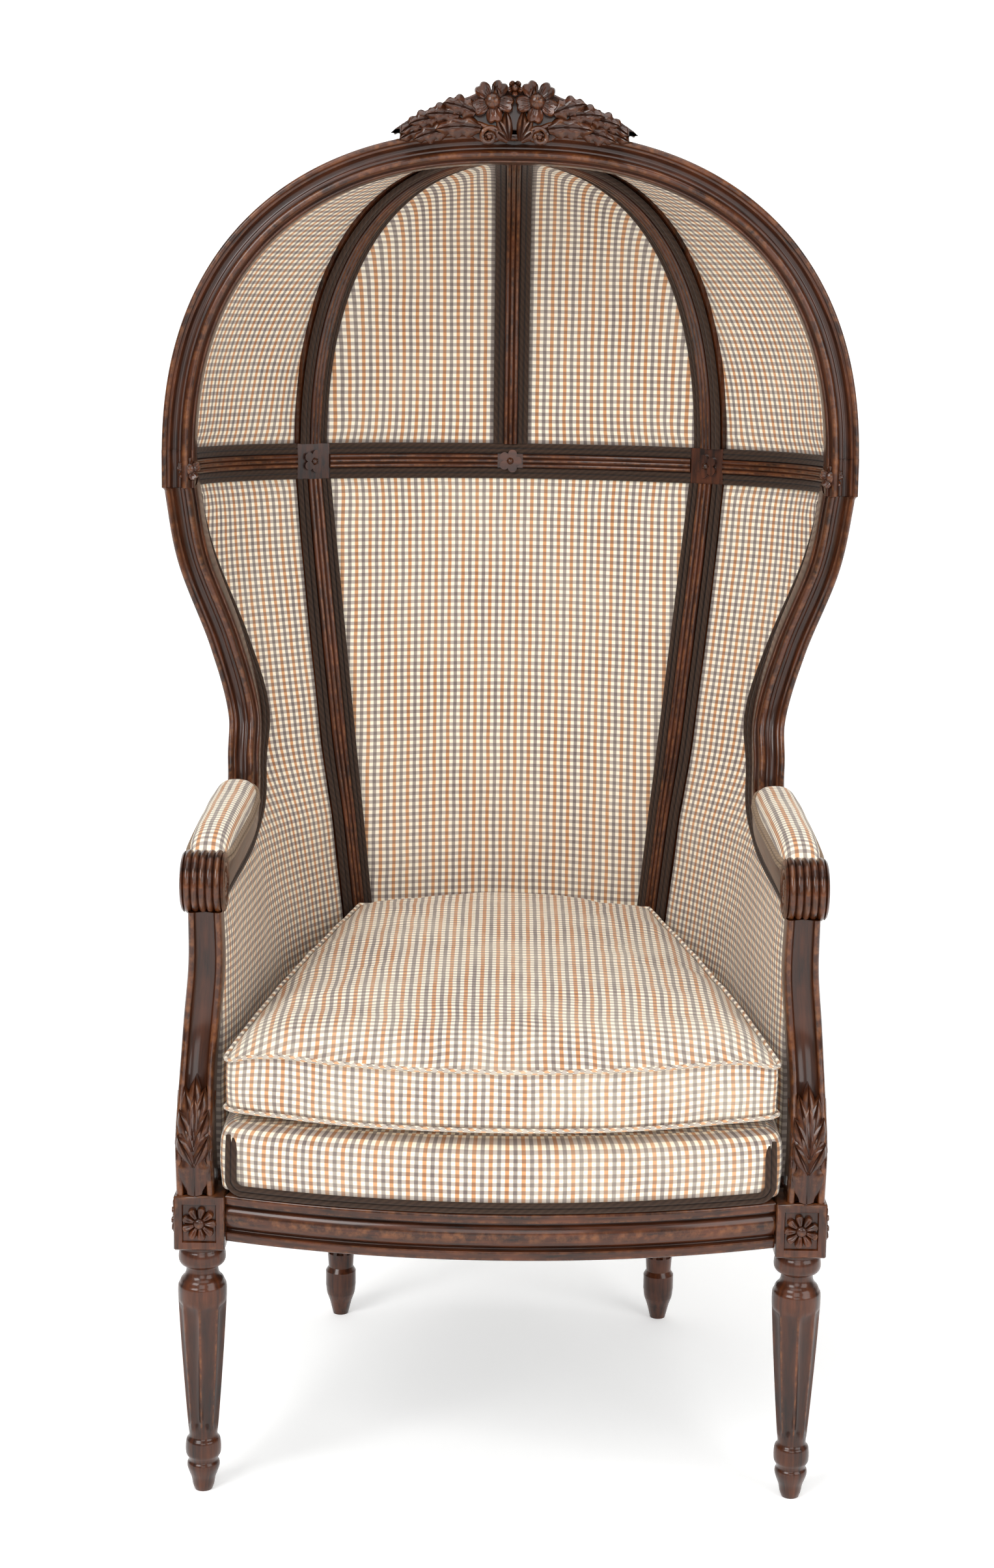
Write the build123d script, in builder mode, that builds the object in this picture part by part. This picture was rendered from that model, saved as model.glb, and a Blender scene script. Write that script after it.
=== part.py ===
"""Hall porter chair: a carved and moulded wooden frame with a domed canopy, upholstered inside and out,
with a loose seat cushion. Millimetres, +Z up, the front faces -Y. Left and right are as seen from the front."""

from build123d import *
from math import asin, atan2, cos, degrees, hypot, pi, sin
import os

os.makedirs("parts", exist_ok=True)

# Driving sizes of the whole chair
leg_half_spread = 342.0
back_leg_half_spread = 218.0
seat_depth = 537.0
rail_top = 364.0
ring_height = 1165.0
ring_half_width = 407.0
dome_rise = 391.0
back_rake = 30.0
back_bow = 75.0
back_bow_low = 45.0
stile_foot_x = 185.0
stile_top_x = 267.0
ring_axis_share = 0.640

# Layers of the wall, measured outwards from its middle
wood_half = 14.0
frame_half = 20.0
panel_inner = 12.0
panel_outer = 3.0
rebate = 8.0
welt_proud = 2.0
cover_thick = 5.0
seam = 0.3

# Members of the frame
reed_width = 18.0
member_width = 46.0
arch_depth = 38.0
block_size = 58.0
block_height = 64.0
rail_height = 54.0
rail_thick = 30.0
front_bow = 52.0
rail_setback = 5.0
tenon_thick = 12.0
tenon_length = 22.0
tenon_height = 36.0
tenon_play = 0.2

# Seat and cushion
deck_height = 91.0
deck_setback = 4.0
cushion_height = 84.0
cushion_half_width = 316.0
cushion_overhang = 14.0
cushion_back_gap = 20.0
cushion_tilt = 4.0

# Places worked out from the driving sizes
rail_bottom = rail_top - rail_height
block_bottom = rail_top - block_height
body_height = ring_height - rail_top
front_reach = block_size / 2 - rail_setback + front_bow + cushion_overhang
total_depth = front_reach + seat_depth + back_rake + back_bow + wood_half + seam + cover_thick
total_height = ring_height + dome_rise + frame_half
front_y = front_reach - total_depth / 2
back_y = front_y + seat_depth
ring_axis_y = front_y + seat_depth * ring_axis_share
ring_half_depth = back_y + back_rake + back_bow - ring_axis_y
sides = {"left": -1, "right": 1}


def export(builder, name):
    """Label a finished piece and write it out."""
    builder.part.label = name
    export_step(builder.part, "parts/" + name + ".step")


def export_pair(piece, name):
    """Write a piece made on the right and its mirror image on the left."""
    for side, sign in sides.items():
        with BuildPart() as placed:
            add(piece if sign > 0 else mirror(piece, about=Plane.YZ, mode=Mode.PRIVATE))
        export(placed, side + "_" + name)


def blend(level, levels, values):
    """Straight-line value of a table at a level."""
    for index in range(len(levels) - 1):
        if level <= levels[index + 1]:
            part = (level - levels[index]) / (levels[index + 1] - levels[index])
            return values[index] + (values[index + 1] - values[index]) * part
    return values[-1]


# Plan of the upholstered wall at rising levels: width at the front, width and place at the wing, as shares of
# a reach that grows evenly from the front legs' spread to the ring's
wall_level_shares = [0.0, 0.107, 0.27, 0.42, 0.52, 0.60, 0.707, 0.857, 1.0]
wall_front_shares = [0.988, 0.968, 0.934, 0.918, 0.915, 0.913, 0.944, 1.008, 1.0]
wall_side_shares = [0.851, 0.846, 0.851, 0.882, 0.897, 0.895, 0.925, 0.996, 1.0]
wall_depth_shares = [0.59, 0.60, 0.612, 0.62, 0.76, 0.80, 0.80, 0.74, ring_axis_share]
wall_front_inset = 28.0
control_share = 0.62
probe_share = 0.001
halvings = 30
strip_steps = 4


def wall_mid(height, across):
    """Middle of the wall: across runs 0 to 1 beside the seat, to 2 at the stile, to 3 at the centre back."""
    level = (height - rail_top) / body_height
    reach = leg_half_spread + (ring_half_width - leg_half_spread) * level
    front_x = reach * blend(level, wall_level_shares, wall_front_shares)
    side_x = reach * blend(level, wall_level_shares, wall_side_shares)
    side_y = front_y + seat_depth * blend(level, wall_level_shares, wall_depth_shares)
    start_y = front_y + wall_front_inset
    stile_x = stile_foot_x + (stile_top_x - stile_foot_x) * level
    stile_y = back_y + back_rake * level
    if across <= 1:
        return side_x + (front_x - side_x) * (1 - across), side_y + (start_y - side_y) * (1 - across)
    if across <= 2:
        turn = across - 1
        slope = (side_x - front_x) / (side_y - start_y)
        control_y = side_y + (stile_y - side_y) * control_share
        control_x = side_x + (control_y - side_y) * slope
        far = 1 - turn
        return (
            far * far * side_x + 2 * far * turn * control_x + turn * turn * stile_x,
            far * far * side_y + 2 * far * turn * control_y + turn * turn * stile_y,
        )
    bow = back_bow_low + (back_bow - back_bow_low) * level
    out = 3 - across
    return stile_x * out, stile_y + bow * (1 - out * out)


def wall_point(height, across, grow):
    """A point of the wall moved outwards, square to its plan."""
    here = wall_mid(height, across)
    low = wall_mid(height, max(across - probe_share, 0))
    high = wall_mid(height, min(across + probe_share, 3))
    run = (high[0] - low[0], high[1] - low[1])
    length = hypot(*run)
    return here[0] + run[1] / length * grow, here[1] - run[0] / length * grow


def side_across_at(height, depth_y, grow=0.0):
    """How far along the side the wall, moved outwards, reaches a given depth."""
    low, high = 0.0, 2.0
    for _ in range(halvings):
        middle = (low + high) / 2
        if wall_point(height, middle, grow)[1] < depth_y:
            low = middle
        else:
            high = middle
    return low


def strip(height, start, end, inner, outer, depth_y=None):
    """Horizontal slice of one wall piece between two places across the wall; a depth cuts its front square."""
    edges = []
    for grow in (inner, outer):
        first = start if depth_y is None else side_across_at(height, depth_y, grow)
        steps = [first + (end - first) * count / strip_steps for count in range(strip_steps + 1)]
        edges.append([wall_point(height, step, grow) for step in steps])
    near, far = edges
    with BuildSketch(Plane.XY.offset(height)) as face:
        with BuildLine():
            Spline(*near)
            Spline(*far)
            Line(near[0], far[0])
            Line(near[-1], far[-1])
        make_face()
    return face.sketch


def back_strip(height, inset, inner, outer):
    """Slice of a piece that spans the back from stile to stile, kept clear of each by an inset."""
    centre = wall_mid(height, 3)
    stile = wall_mid(height, 2)
    edge = 2 + inset / stile[0]
    places = [edge, (edge + 3) / 2, 3]
    near = [wall_point(height, place, inner) for place in places]
    far = [wall_point(height, place, outer) for place in places]
    near[-1] = (0, centre[1] + inner)
    far[-1] = (0, centre[1] + outer)
    with BuildSketch(Plane.XY.offset(height)) as face:
        with BuildLine():
            ThreePointArc((-near[0][0], near[0][1]), near[-1], near[0])
            ThreePointArc((-far[0][0], far[0][1]), far[-1], far[0])
            Line(near[0], far[0])
            Line((-near[0][0], near[0][1]), (-far[0][0], far[0][1]))
        make_face()
    return face.sketch


def stacked(faces):
    """A solid through slices, straight from each to the next."""
    with BuildPart() as body:
        for face in faces:
            add(face)
        loft(ruled=True)
    return body.part


# The frame's path in side view: depth from the front leg's axis and height, from the arm scroll to the ring
path_depth_shares = [0.07, 0.25, 0.45, 0.62, 0.735, 0.80, 0.842, 0.828, 0.782, 0.71, ring_axis_share]
path_height_shares = [0.438, 0.446, 0.452, 0.463, 0.490, 0.535, 0.605, 0.70, 0.82, 0.92, 1.0]


def smoothed(values):
    """The values with one more between each two, on a smooth curve through them."""
    fine = [values[0]]
    for index in range(len(values) - 1):
        near, far = values[index], values[index + 1]
        before = values[index - 1] if index else near * 2 - far
        after = values[index + 2] if index + 2 < len(values) else far * 2 - near
        fine += [((near + far) * 9 - before - after) / 16, far]
    return fine


fine_depth_shares = smoothed(path_depth_shares)
fine_height_shares = smoothed(path_height_shares)


def path_point(index, grow=0.0):
    """A station of the frame's path, as a place in space."""
    height = rail_top + body_height * fine_height_shares[index]
    depth = front_y + seat_depth * fine_depth_shares[index]
    across = side_across_at(height, depth)
    x, _ = wall_point(height, across, grow)
    return Vector(x, depth, height)


# Plain heights that several pieces share
ring_low = ring_height - member_width / 2
ring_high = ring_height + member_width / 2
wing_last = len(fine_depth_shares) - 1
arm_last = 8
arm_thick_share = 0.85
wing_thick_share = 0.9


def path_edge(index, clearance):
    """The frame's path moved square to itself, down and back, to where a panel's edge runs beside it."""
    here = path_point(index)
    before = path_point(max(index - 1, 0))
    after = path_point(min(index + 1, wing_last))
    run = (after.Y - before.Y, after.Z - before.Z)
    length = hypot(*run)
    return here.Y + run[1] / length * clearance, here.Z - run[0] / length * clearance


# Heights of the slices that every upright piece of the wall shares
web_thick = 2.0
wall_low = rail_top + 2 * web_thick + seam
frame_gap = 3.2
frame_clear = frame_half * wing_thick_share + frame_gap
ring_turn = 24.0
ring_bulge = 8.5
edge_path = [path_edge(index, frame_clear) for index in range(1, wing_last)]
edge_path = [place for place in edge_path if place[1] < ring_low - ring_turn]
ring_foot = (ring_axis_y + arch_depth / 2 + frame_gap + ring_bulge, ring_low - seam * 2)
edge_path.append(((edge_path[-1][0] + ring_foot[0]) / 2 + ring_bulge, (edge_path[-1][1] + ring_foot[1]) / 2))
edge_path.append(ring_foot)
arm_under = edge_path[0][1] - frame_gap
low_level_shares = [0.5, 1.0]
wall_heights = (
    [wall_low]
    + [wall_low + (arm_under - seam - wall_low) * share for share in low_level_shares]
    + [height for _, height in edge_path]
)

print("turned legs")
# Turned front leg, upwards from the floor: radius and height of each turn of the profile
foot_radius = 10.5
leg_turn_shares = [
    (0.37, 0.0),
    (0.45, 0.03),
    (0.54, 0.063),
    (0.67, 0.097),
    (0.70, 0.113),
    (0.73, 0.14),
    (0.73, 0.205),
    (0.60, 0.225),
    (1.0, 0.78),
    (0.98, 0.838),
    (0.86, 0.86),
    (0.66, 0.89),
    (0.70, 0.915),
    (0.95, 0.925),
    (0.95, 0.97),
    (0.88, 1.0),
]
leg_radius = 28.0
flute_radius = 4.6
flute_count = 8
flute_low_share = 0.29
flute_high_share = 0.74


def turned_leg(x, y):
    """A tapered and fluted leg under its square block."""
    points = [(leg_radius * wide, block_bottom * high) for wide, high in leg_turn_shares]
    low = points[7]
    high = points[8]
    tilt = degrees(atan2(high[0] - low[0], high[1] - low[1]))
    flute_length = block_bottom * (flute_high_share - flute_low_share)
    flute_middle = block_bottom * (flute_high_share + flute_low_share) / 2
    middle_radius = low[0] + (high[0] - low[0]) * (flute_middle - low[1]) / (high[1] - low[1])
    with BuildPart() as leg:
        with BuildSketch(Plane.XZ):
            with BuildLine():
                Polyline((0, 0), *points, (0, block_bottom), (0, 0))
            make_face()
        revolve(axis=Axis.Z)
        with Locations((0, 0, flute_middle)):
            with PolarLocations(middle_radius, flute_count):
                Cylinder(flute_radius, flute_length, rotation=(0, tilt, 0), mode=Mode.SUBTRACT)
        with Locations((0, 0, block_bottom)):
            Box(block_size, block_size, block_height, align=(Align.CENTER, Align.CENTER, Align.MIN))
    return leg.part.moved(Location((x, y, 0)))


rosette_thick = 9.0
disc_share = 0.62
petal_place_share = 0.60
heart_share = 0.30
petal_full_share = 1.06


def rosette(face, radius, petals):
    """Carved flower: a low disc, a ring of petals and a round heart."""
    petal_share = petal_place_share * sin(pi / petals) * petal_full_share
    with BuildPart() as flower:
        with BuildSketch(face):
            Circle(radius * disc_share)
        extrude(amount=rosette_thick / 3)
        with BuildSketch(face):
            with PolarLocations(radius * petal_place_share, petals):
                Circle(radius * petal_share)
        extrude(amount=rosette_thick / 2)
        with Locations(face.offset(rosette_thick / 3)):
            Sphere(radius * heart_share)
    return flower.part


def tenon(x, y, along_x, play=0.0):
    """One tenon of a seat rail, or with play the mortise that takes it."""
    long_side = tenon_length + play
    size = (long_side, tenon_thick + 2 * play) if along_x else (tenon_thick + 2 * play, long_side)
    with BuildPart() as key:
        with Locations((x, y, rail_top - rail_height / 2)):
            Box(size[0], size[1], tenon_height + 2 * play)
    return key.part


front_block_inner = leg_half_spread - block_size / 2
front_block_back = front_y + block_size / 2
back_block_inner = back_leg_half_spread - block_size / 2
back_block_front = back_y - block_size / 2
front_tenon_y = front_y - block_size / 2 + rail_setback + rail_thick / 2
back_tenon_y = back_y
tenon_places = [
    (front_block_inner + tenon_length / 2, front_tenon_y, True),
    (leg_half_spread, front_block_back - tenon_length / 2, False),
    (back_leg_half_spread, back_block_front + tenon_length / 2, False),
    (back_block_inner + tenon_length / 2, back_tenon_y, True),
]

peg_radius = 6.0
peg_length = 24.0
front_leg = turned_leg(leg_half_spread, front_y)
leg_frame = 7.0
leg_recess = 2.5
leg_rosette_radius = 19.0
leg_petals = 9
block_middle = block_bottom + block_height / 2
leg_faces = [
    Plane(origin=(leg_half_spread, front_y - block_size / 2, block_middle), x_dir=(1, 0, 0), z_dir=(0, -1, 0)),
    Plane(origin=(leg_half_spread + block_size / 2, front_y, block_middle), x_dir=(0, 1, 0), z_dir=(1, 0, 0)),
]
with BuildPart() as front_leg_piece:
    add(front_leg)
    for place in tenon_places[:2]:
        add(tenon(*place, play=tenon_play), mode=Mode.SUBTRACT)
    with Locations((leg_half_spread, front_y, rail_top)):
        Hole(peg_radius + tenon_play, peg_length + tenon_play)
    for face in leg_faces:
        with BuildSketch(face):
            Rectangle(block_size - leg_frame * 2, block_height - leg_frame * 2)
        extrude(amount=-leg_recess, mode=Mode.SUBTRACT)
        add(rosette(face.offset(-leg_recess), leg_rosette_radius, leg_petals))
export_pair(front_leg_piece.part, "front_leg")

# Back post: turned leg, block and the raked stile above it in one length of wood
stile_half_across = member_width / 2
reed_half_across = reed_width / 2


def side_edge(height, offset):
    """Place on the side part of the wall at a distance before the stile."""
    stile = wall_mid(height, 2)
    low, high = 1.0, 2.0
    for _ in range(halvings):
        middle = (low + high) / 2
        point = wall_mid(height, middle)
        if hypot(point[0] - stile[0], point[1] - stile[1]) > offset:
            low = middle
        else:
            high = middle
    return low


def back_edge(height, offset):
    """Place on the back part of the wall at a distance past the stile."""
    return 2 + offset / wall_mid(height, 2)[0]


def member_point(height, across_share, grow):
    """A point of a stile's section: across runs 0 to 1 from its side edge to its back edge."""
    before = wall_point(height, side_edge(height, stile_half_across), grow)
    after = wall_point(height, back_edge(height, stile_half_across), grow)
    return tuple(low + (high - low) * across_share for low, high in zip(before, after))


def member_slice(height, low_share, high_share, inner, outer):
    """Slice of a stile between two places across it and two depths."""
    with BuildSketch(Plane.XY.offset(height)) as face:
        with BuildLine():
            Polyline(
                member_point(height, low_share, inner),
                member_point(height, low_share, outer),
                member_point(height, high_share, outer),
                member_point(height, high_share, inner),
                member_point(height, low_share, inner),
            )
        make_face()
    return face.sketch


post_relief = 1.5
reed_low_share = 0.5 - reed_half_across / member_width
reed_high_share = 0.5 + reed_half_across / member_width
stile_heights = [rail_top] + wall_heights[:-1] + [ring_low]
with BuildPart() as back_post:
    add(turned_leg(back_leg_half_spread, back_y))
    add(
        stacked(
            [
                member_slice(height, 0, 1, -wood_half + rebate, wood_half - post_relief)
                for height in stile_heights
            ]
        )
    )
    add(
        stacked(
            [
                member_slice(height, reed_low_share, reed_high_share, -wood_half, -wood_half + rebate)
                for height in stile_heights
            ]
        )
    )
    for place in tenon_places[2:]:
        add(tenon(*place, play=tenon_play), mode=Mode.SUBTRACT)
export_pair(back_post.part, "back_post")

print("seat rails")
rail_cove = 6.0
rail_fillet_share = 0.20
rail_torus_share = 0.30
rail_neck_share = 0.08


def rail_band(start, end, bow, grow_out, grow_in, low, high):
    """A bowed bar between two places in plan; the bow goes to the right of the run."""
    run = (end[0] - start[0], end[1] - start[1])
    length = hypot(*run)
    out = (run[1] / length, -run[0] / length)
    middle = ((start[0] + end[0]) / 2, (start[1] + end[1]) / 2)
    near = [start, (middle[0] + out[0] * bow, middle[1] + out[1] * bow), end]
    faces = [[(x + out[0] * grow, y + out[1] * grow) for x, y in near] for grow in (grow_out, grow_in)]
    with BuildPart() as band:
        with BuildSketch(Plane.XY.offset(low)):
            with BuildLine():
                ThreePointArc(*faces[0])
                ThreePointArc(*faces[1])
                Line(faces[0][0], faces[1][0])
                Line(faces[0][2], faces[1][2])
            make_face()
        extrude(amount=high - low)
    return band.part


rail_bands = [
    (0.0, rail_fillet_share, 0.0),
    (rail_fillet_share, rail_fillet_share + rail_neck_share, -rail_cove),
    (rail_fillet_share + rail_neck_share, 1 - rail_fillet_share - rail_neck_share, 0.0),
    (1 - rail_fillet_share - rail_neck_share, 1 - rail_fillet_share, -rail_cove),
    (1 - rail_fillet_share, 1.0, 0.0),
]


def moulded_rail(start, end, bow):
    """A seat rail: two fillets with a rounded torus between two coves."""
    with BuildPart() as rail:
        for low_share, high_share, step in rail_bands:
            low = rail_bottom + rail_height * low_share
            high = rail_bottom + rail_height * high_share
            add(rail_band(start, end, bow, step, -rail_thick, low, high))
    return rail.part


front_rail_y = front_y - block_size / 2 + rail_setback
with BuildPart() as front_seat_rail:
    add(moulded_rail((-front_block_inner, front_rail_y), (front_block_inner, front_rail_y), front_bow))
    add(tenon(*tenon_places[0]))
    add(mirror(tenon(*tenon_places[0]), about=Plane.YZ, mode=Mode.PRIVATE))
export(front_seat_rail, "front_seat_rail")

rail_proud = 2.0
rail_face = wood_half + seam + cover_thick + rail_proud
rail_spare = rail_thick / 2
side_rail_end = side_across_at(rail_top, back_block_front + rail_spare)
with BuildPart() as side_seat_rail:
    for low_share, high_share, step in rail_bands:
        low = rail_bottom + rail_height * low_share
        face = strip(rail_top, 0, side_rail_end, rail_face - rail_thick, rail_face + step)
        extrude(face.moved(Location((0, 0, low - rail_top))), rail_height * (high_share - low_share))
    with Locations((leg_half_spread, (front_block_back + back_block_front) / 2, rail_top)):
        Box(leg_half_spread, back_block_front - front_block_back, rail_height * 3, mode=Mode.INTERSECT)
    add(tenon(*tenon_places[1]))
    add(tenon(*tenon_places[2]))
export_pair(side_seat_rail.part, "seat_rail")

back_rail_face = back_y + block_size / 2 - rail_setback
with BuildPart() as back_seat_rail:
    add(moulded_rail((back_block_inner, back_rail_face), (-back_block_inner, back_rail_face), back_bow_low))
    add(tenon(*tenon_places[3]))
    add(mirror(tenon(*tenon_places[3]), about=Plane.YZ, mode=Mode.PRIVATE))
export(back_seat_rail, "back_seat_rail")

print("frame of the wings and arms")


def frame_slice(index, width, depth):
    """Cross-section of the moulded frame, square to its path."""
    before = path_point(max(index - 1, 0))
    after = path_point(min(index + 1, wing_last))
    along = (after - before).normalized()
    across = Vector(1, 0, 0)
    across = (across - along * across.dot(along)).normalized()
    with BuildSketch(Plane(origin=path_point(index), x_dir=across, z_dir=along)) as face:
        Rectangle(width, depth)
    return face.sketch


# Arm rail, from the scroll to where the frame turns up into the wing
ring_block_size = 46.0
scroll_radius = 36.0
scroll_width = 48.0
scroll_reeds = 4
scroll_groove = 2.2
scroll_ahead_share = 0.5
scroll_rise_share = 0.1
scroll_place = path_point(0) + Vector(0, -scroll_ahead_share, scroll_rise_share) * scroll_radius
with BuildPart() as arm_rail:
    for index in range(arm_last + 1):
        add(frame_slice(index, frame_half * 2, frame_half * 2 * arm_thick_share))
    loft()
    with BuildPart(mode=Mode.PRIVATE) as scroll:
        with Locations(scroll_place):
            Cylinder(scroll_radius, scroll_width, rotation=(0, 90, 0))
        for count in range(1, scroll_reeds):
            place = scroll_place + Vector(scroll_width * (count - scroll_reeds / 2) / scroll_reeds, 0, 0)
            rim = place + Vector(0, 0, scroll_radius)
            with BuildSketch(Plane(origin=rim, x_dir=(1, 0, 0), z_dir=(0, -1, 0))):
                Circle(scroll_groove)
            revolve(axis=Axis((place.X, place.Y, place.Z), (1, 0, 0)), mode=Mode.SUBTRACT)
    add(scroll.part)
with BuildPart() as wing_stile:
    for index in range(arm_last, wing_last - 2):
        add(frame_slice(index, frame_half * 2, frame_half * 2 * wing_thick_share))
    wing_top = path_point(wing_last)
    with BuildSketch(Plane(origin=(wing_top.X, wing_top.Y, ring_low), z_dir=(0, 0, 1))):
        Rectangle(frame_half * 2, arch_depth)
    loft()
    with Locations((ring_half_width, ring_axis_y, ring_height)):
        Box(total_depth, total_depth, member_width, mode=Mode.SUBTRACT)
export_pair(wing_stile.part, "wing_stile")
export_pair(arm_rail.part, "arm_rail")

# Arm support: rises from the front leg's block and sweeps back, then forward under the scroll
support_height_shares = [0.0, 0.20, 0.42, 0.60, 0.80, 1.0]
support_foot = 52.0
support_x_shares = [0.096, 0.135, 0.115, 0.038, -0.077, -0.096]
support_y_shares = [0.0, 0.077, 0.5, 0.692, 0.538, 0.269]
support_width_shares = [1.0, 0.923, 0.769, 0.788, 0.769, 0.731]
support_depth_shares = [1.0, 0.962, 0.808, 0.731, 0.692, 0.731]
support_seat_share = 0.86
support_top = scroll_place.Z - scroll_radius * support_seat_share
with BuildPart() as arm_support:
    for share, x_share, y_share, width_share, depth_share in zip(
        support_height_shares, support_x_shares, support_y_shares, support_width_shares, support_depth_shares
    ):
        height = rail_top + (support_top - rail_top) * share
        place = Vector(leg_half_spread + support_foot * x_share, front_y + support_foot * y_share, height)
        with BuildSketch(Plane(origin=place, z_dir=(0, 0, 1))):
            Rectangle(support_foot * width_share, support_foot * depth_share)
    loft()
    with BuildSketch(Plane.XY.offset(rail_top)):
        with Locations((leg_half_spread, front_y)):
            Circle(peg_radius)
    extrude(amount=-peg_length)
    add(arm_rail.part, mode=Mode.SUBTRACT)
export_pair(arm_support.part, "arm_support")

print("ring and hood")


def ring_slice(height, start, end, inner, outer):
    """Slice of the ring beside the wing; the plan of the ring is the wall's own plan at its level."""
    steps = [start + (end - start) * count / strip_steps for count in range(strip_steps + 1)]
    near = [wall_point(ring_height, step, inner) for step in steps]
    far = [wall_point(ring_height, step, outer) for step in steps]
    with BuildSketch(Plane.XY.offset(height)) as face:
        with BuildLine():
            Spline(*near)
            Spline(*far)
            Line(near[0], far[0])
            Line(near[-1], far[-1])
        make_face()
    return face.sketch


def ring_band(start, end, inner, outer, low, high):
    """Part of the ring between two heights."""
    with BuildPart() as band:
        extrude(ring_slice(low, start, end, inner, outer), high - low)
    return band.part


joint_gap = 0.5
ring_front_across = side_across_at(ring_height, ring_axis_y + ring_block_size / 2)
ring_side_end = side_edge(ring_height, member_width / 2)
ring_back_start = back_edge(ring_height, member_width / 2)
rosette_radius = 16.0
ring_petals = 5
rosette_seat = 0.3

with BuildPart() as ring_rail:
    add(ring_band(ring_front_across, ring_side_end, -wood_half + rebate, wood_half, ring_low, ring_high))
    add(
        ring_band(
            ring_front_across,
            ring_side_end,
            -wood_half,
            -wood_half + rebate,
            ring_height - reed_half_across,
            ring_height + reed_half_across,
        )
    )
    with Locations((ring_half_width, ring_axis_y, ring_height)):
        Box(ring_block_size, ring_block_size, member_width, mode=Mode.SUBTRACT)
export_pair(ring_rail.part, "ring_rail")


def back_ring_band(inner, outer, low, high):
    """Part of the ring across the back, from stile to stile."""
    with BuildPart() as band:
        face = back_strip(ring_height, member_width / 2, inner, outer)
        extrude(face.moved(Location((0, 0, low - ring_height))), high - low)
    return band.part


with BuildPart() as ring_back_rail:
    add(back_ring_band(-wood_half + rebate, wood_half, ring_low, ring_high))
    add(
        back_ring_band(
            -wood_half, -wood_half + rebate, ring_height - reed_half_across, ring_height + reed_half_across
        )
    )
    back_face = Plane(
        origin=(0, wall_mid(ring_height, 3)[1] - wood_half, ring_height), x_dir=(1, 0, 0), z_dir=(0, -1, 0)
    )
    add(rosette(back_face.offset(-rosette_seat), rosette_radius, ring_petals))
export(ring_back_rail, "ring_back_rail")

corner_inset_share = joint_gap / member_width
# Corner of the ring over each stile, where the ring rails and the hood rib meet
with BuildPart() as ring_corner:
    corner_slice = member_slice(ring_height, corner_inset_share, 1 - corner_inset_share, -wood_half, wood_half)
    corner_shifts = (ring_low - ring_height, ring_high - ring_height)
    add(stacked([corner_slice.moved(Location((0, 0, shift))) for shift in corner_shifts]))
    corner_low = member_point(ring_height, 0, -wood_half)
    corner_high = member_point(ring_height, 1, -wood_half)
    corner_middle = member_point(ring_height, 0.5, -wood_half)
    corner_run = (corner_high[0] - corner_low[0], corner_high[1] - corner_low[1], 0)
    corner_face = Plane(
        origin=(*corner_middle, ring_height), x_dir=corner_run, z_dir=(-corner_run[1], corner_run[0], 0)
    )
    add(rosette(corner_face, rosette_radius, ring_petals))
export_pair(ring_corner.part, "ring_corner")

# Block at each end of the ring, where wing stile, ring and hood arch meet
block_round = 2.5
with BuildPart() as wing_block:
    with Locations((ring_half_width, ring_axis_y, ring_low)):
        Box(ring_block_size, ring_block_size, member_width, align=(Align.CENTER, Align.CENTER, Align.MIN))
    fillet(wing_block.edges().filter_by(Axis.Z), radius=block_round)
    block_front = ring_axis_y - ring_block_size / 2
    block_face = Plane(origin=(ring_half_width, block_front, ring_height), x_dir=(1, 0, 0), z_dir=(0, -1, 0))
    add(rosette(block_face, rosette_radius, ring_petals))
export_pair(wing_block.part, "wing_block")

# The hood: its profile bulges more than an ellipse
dome_bulge = 2.38
profile_steps = 7
behind_and_up = (Align.CENTER, Align.MIN, Align.MIN)
outward_and_up = (Align.MIN, Align.CENTER, Align.MIN)


def profile_width(height, grow):
    """Width of the hood at a height above the ring, as a share of its width at the ring."""
    level = min(max((height - ring_height) / (dome_rise + grow), 0), 1)
    return (1 - level**dome_bulge) ** (1 / dome_bulge)


def profile(width, grow, low_share=0.0):
    """Points of a quarter profile, from near the ring to the crown."""
    points = []
    for step in range(profile_steps + 1):
        turn = low_share + (pi / 2 - low_share) * step / profile_steps
        wide = (width + grow) * max(cos(turn), 0) ** (2 / dome_bulge)
        high = (dome_rise + grow) * sin(turn) ** (2 / dome_bulge)
        points.append((wide, high))
    points[-1] = (0, dome_rise + grow)
    return points


def hood_band(place, width, inner, outer):
    """Upright slice of the hood's shell in a plane, from the ring up to the crown."""
    near = profile(width, inner)
    far = profile(width, outer)
    with BuildSketch(place) as face:
        with BuildLine():
            Spline(*near, tangents=[(0, 1), (-1, 0)])
            Spline(*far, tangents=[(0, 1), (-1, 0)])
            Line(near[0], far[0])
            Line(near[-1], far[-1])
        make_face()
    return face.sketch


with BuildPart() as hood_arch:
    arch_plane = Plane(origin=(0, ring_axis_y, ring_height), x_dir=(1, 0, 0), z_dir=(0, -1, 0))
    extrude(hood_band(arch_plane.offset(-arch_depth / 2), ring_half_width, -frame_half, frame_half), arch_depth)
    with Locations((0, ring_axis_y, ring_high)):
        Box(total_depth, total_depth, total_depth, align=outward_and_up, mode=Mode.INTERSECT)
export_pair(hood_arch.part, "hood_arch")

stile_top = wall_mid(ring_height, 2)
rib_turn = atan2(stile_top[1] - ring_axis_y, stile_top[0])
rib_reach = hypot(stile_top[0], stile_top[1] - ring_axis_y)
arch_back = ring_axis_y + arch_depth / 2
clear_member = member_width / 2 + seam
rib_relief = 7.0


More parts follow.
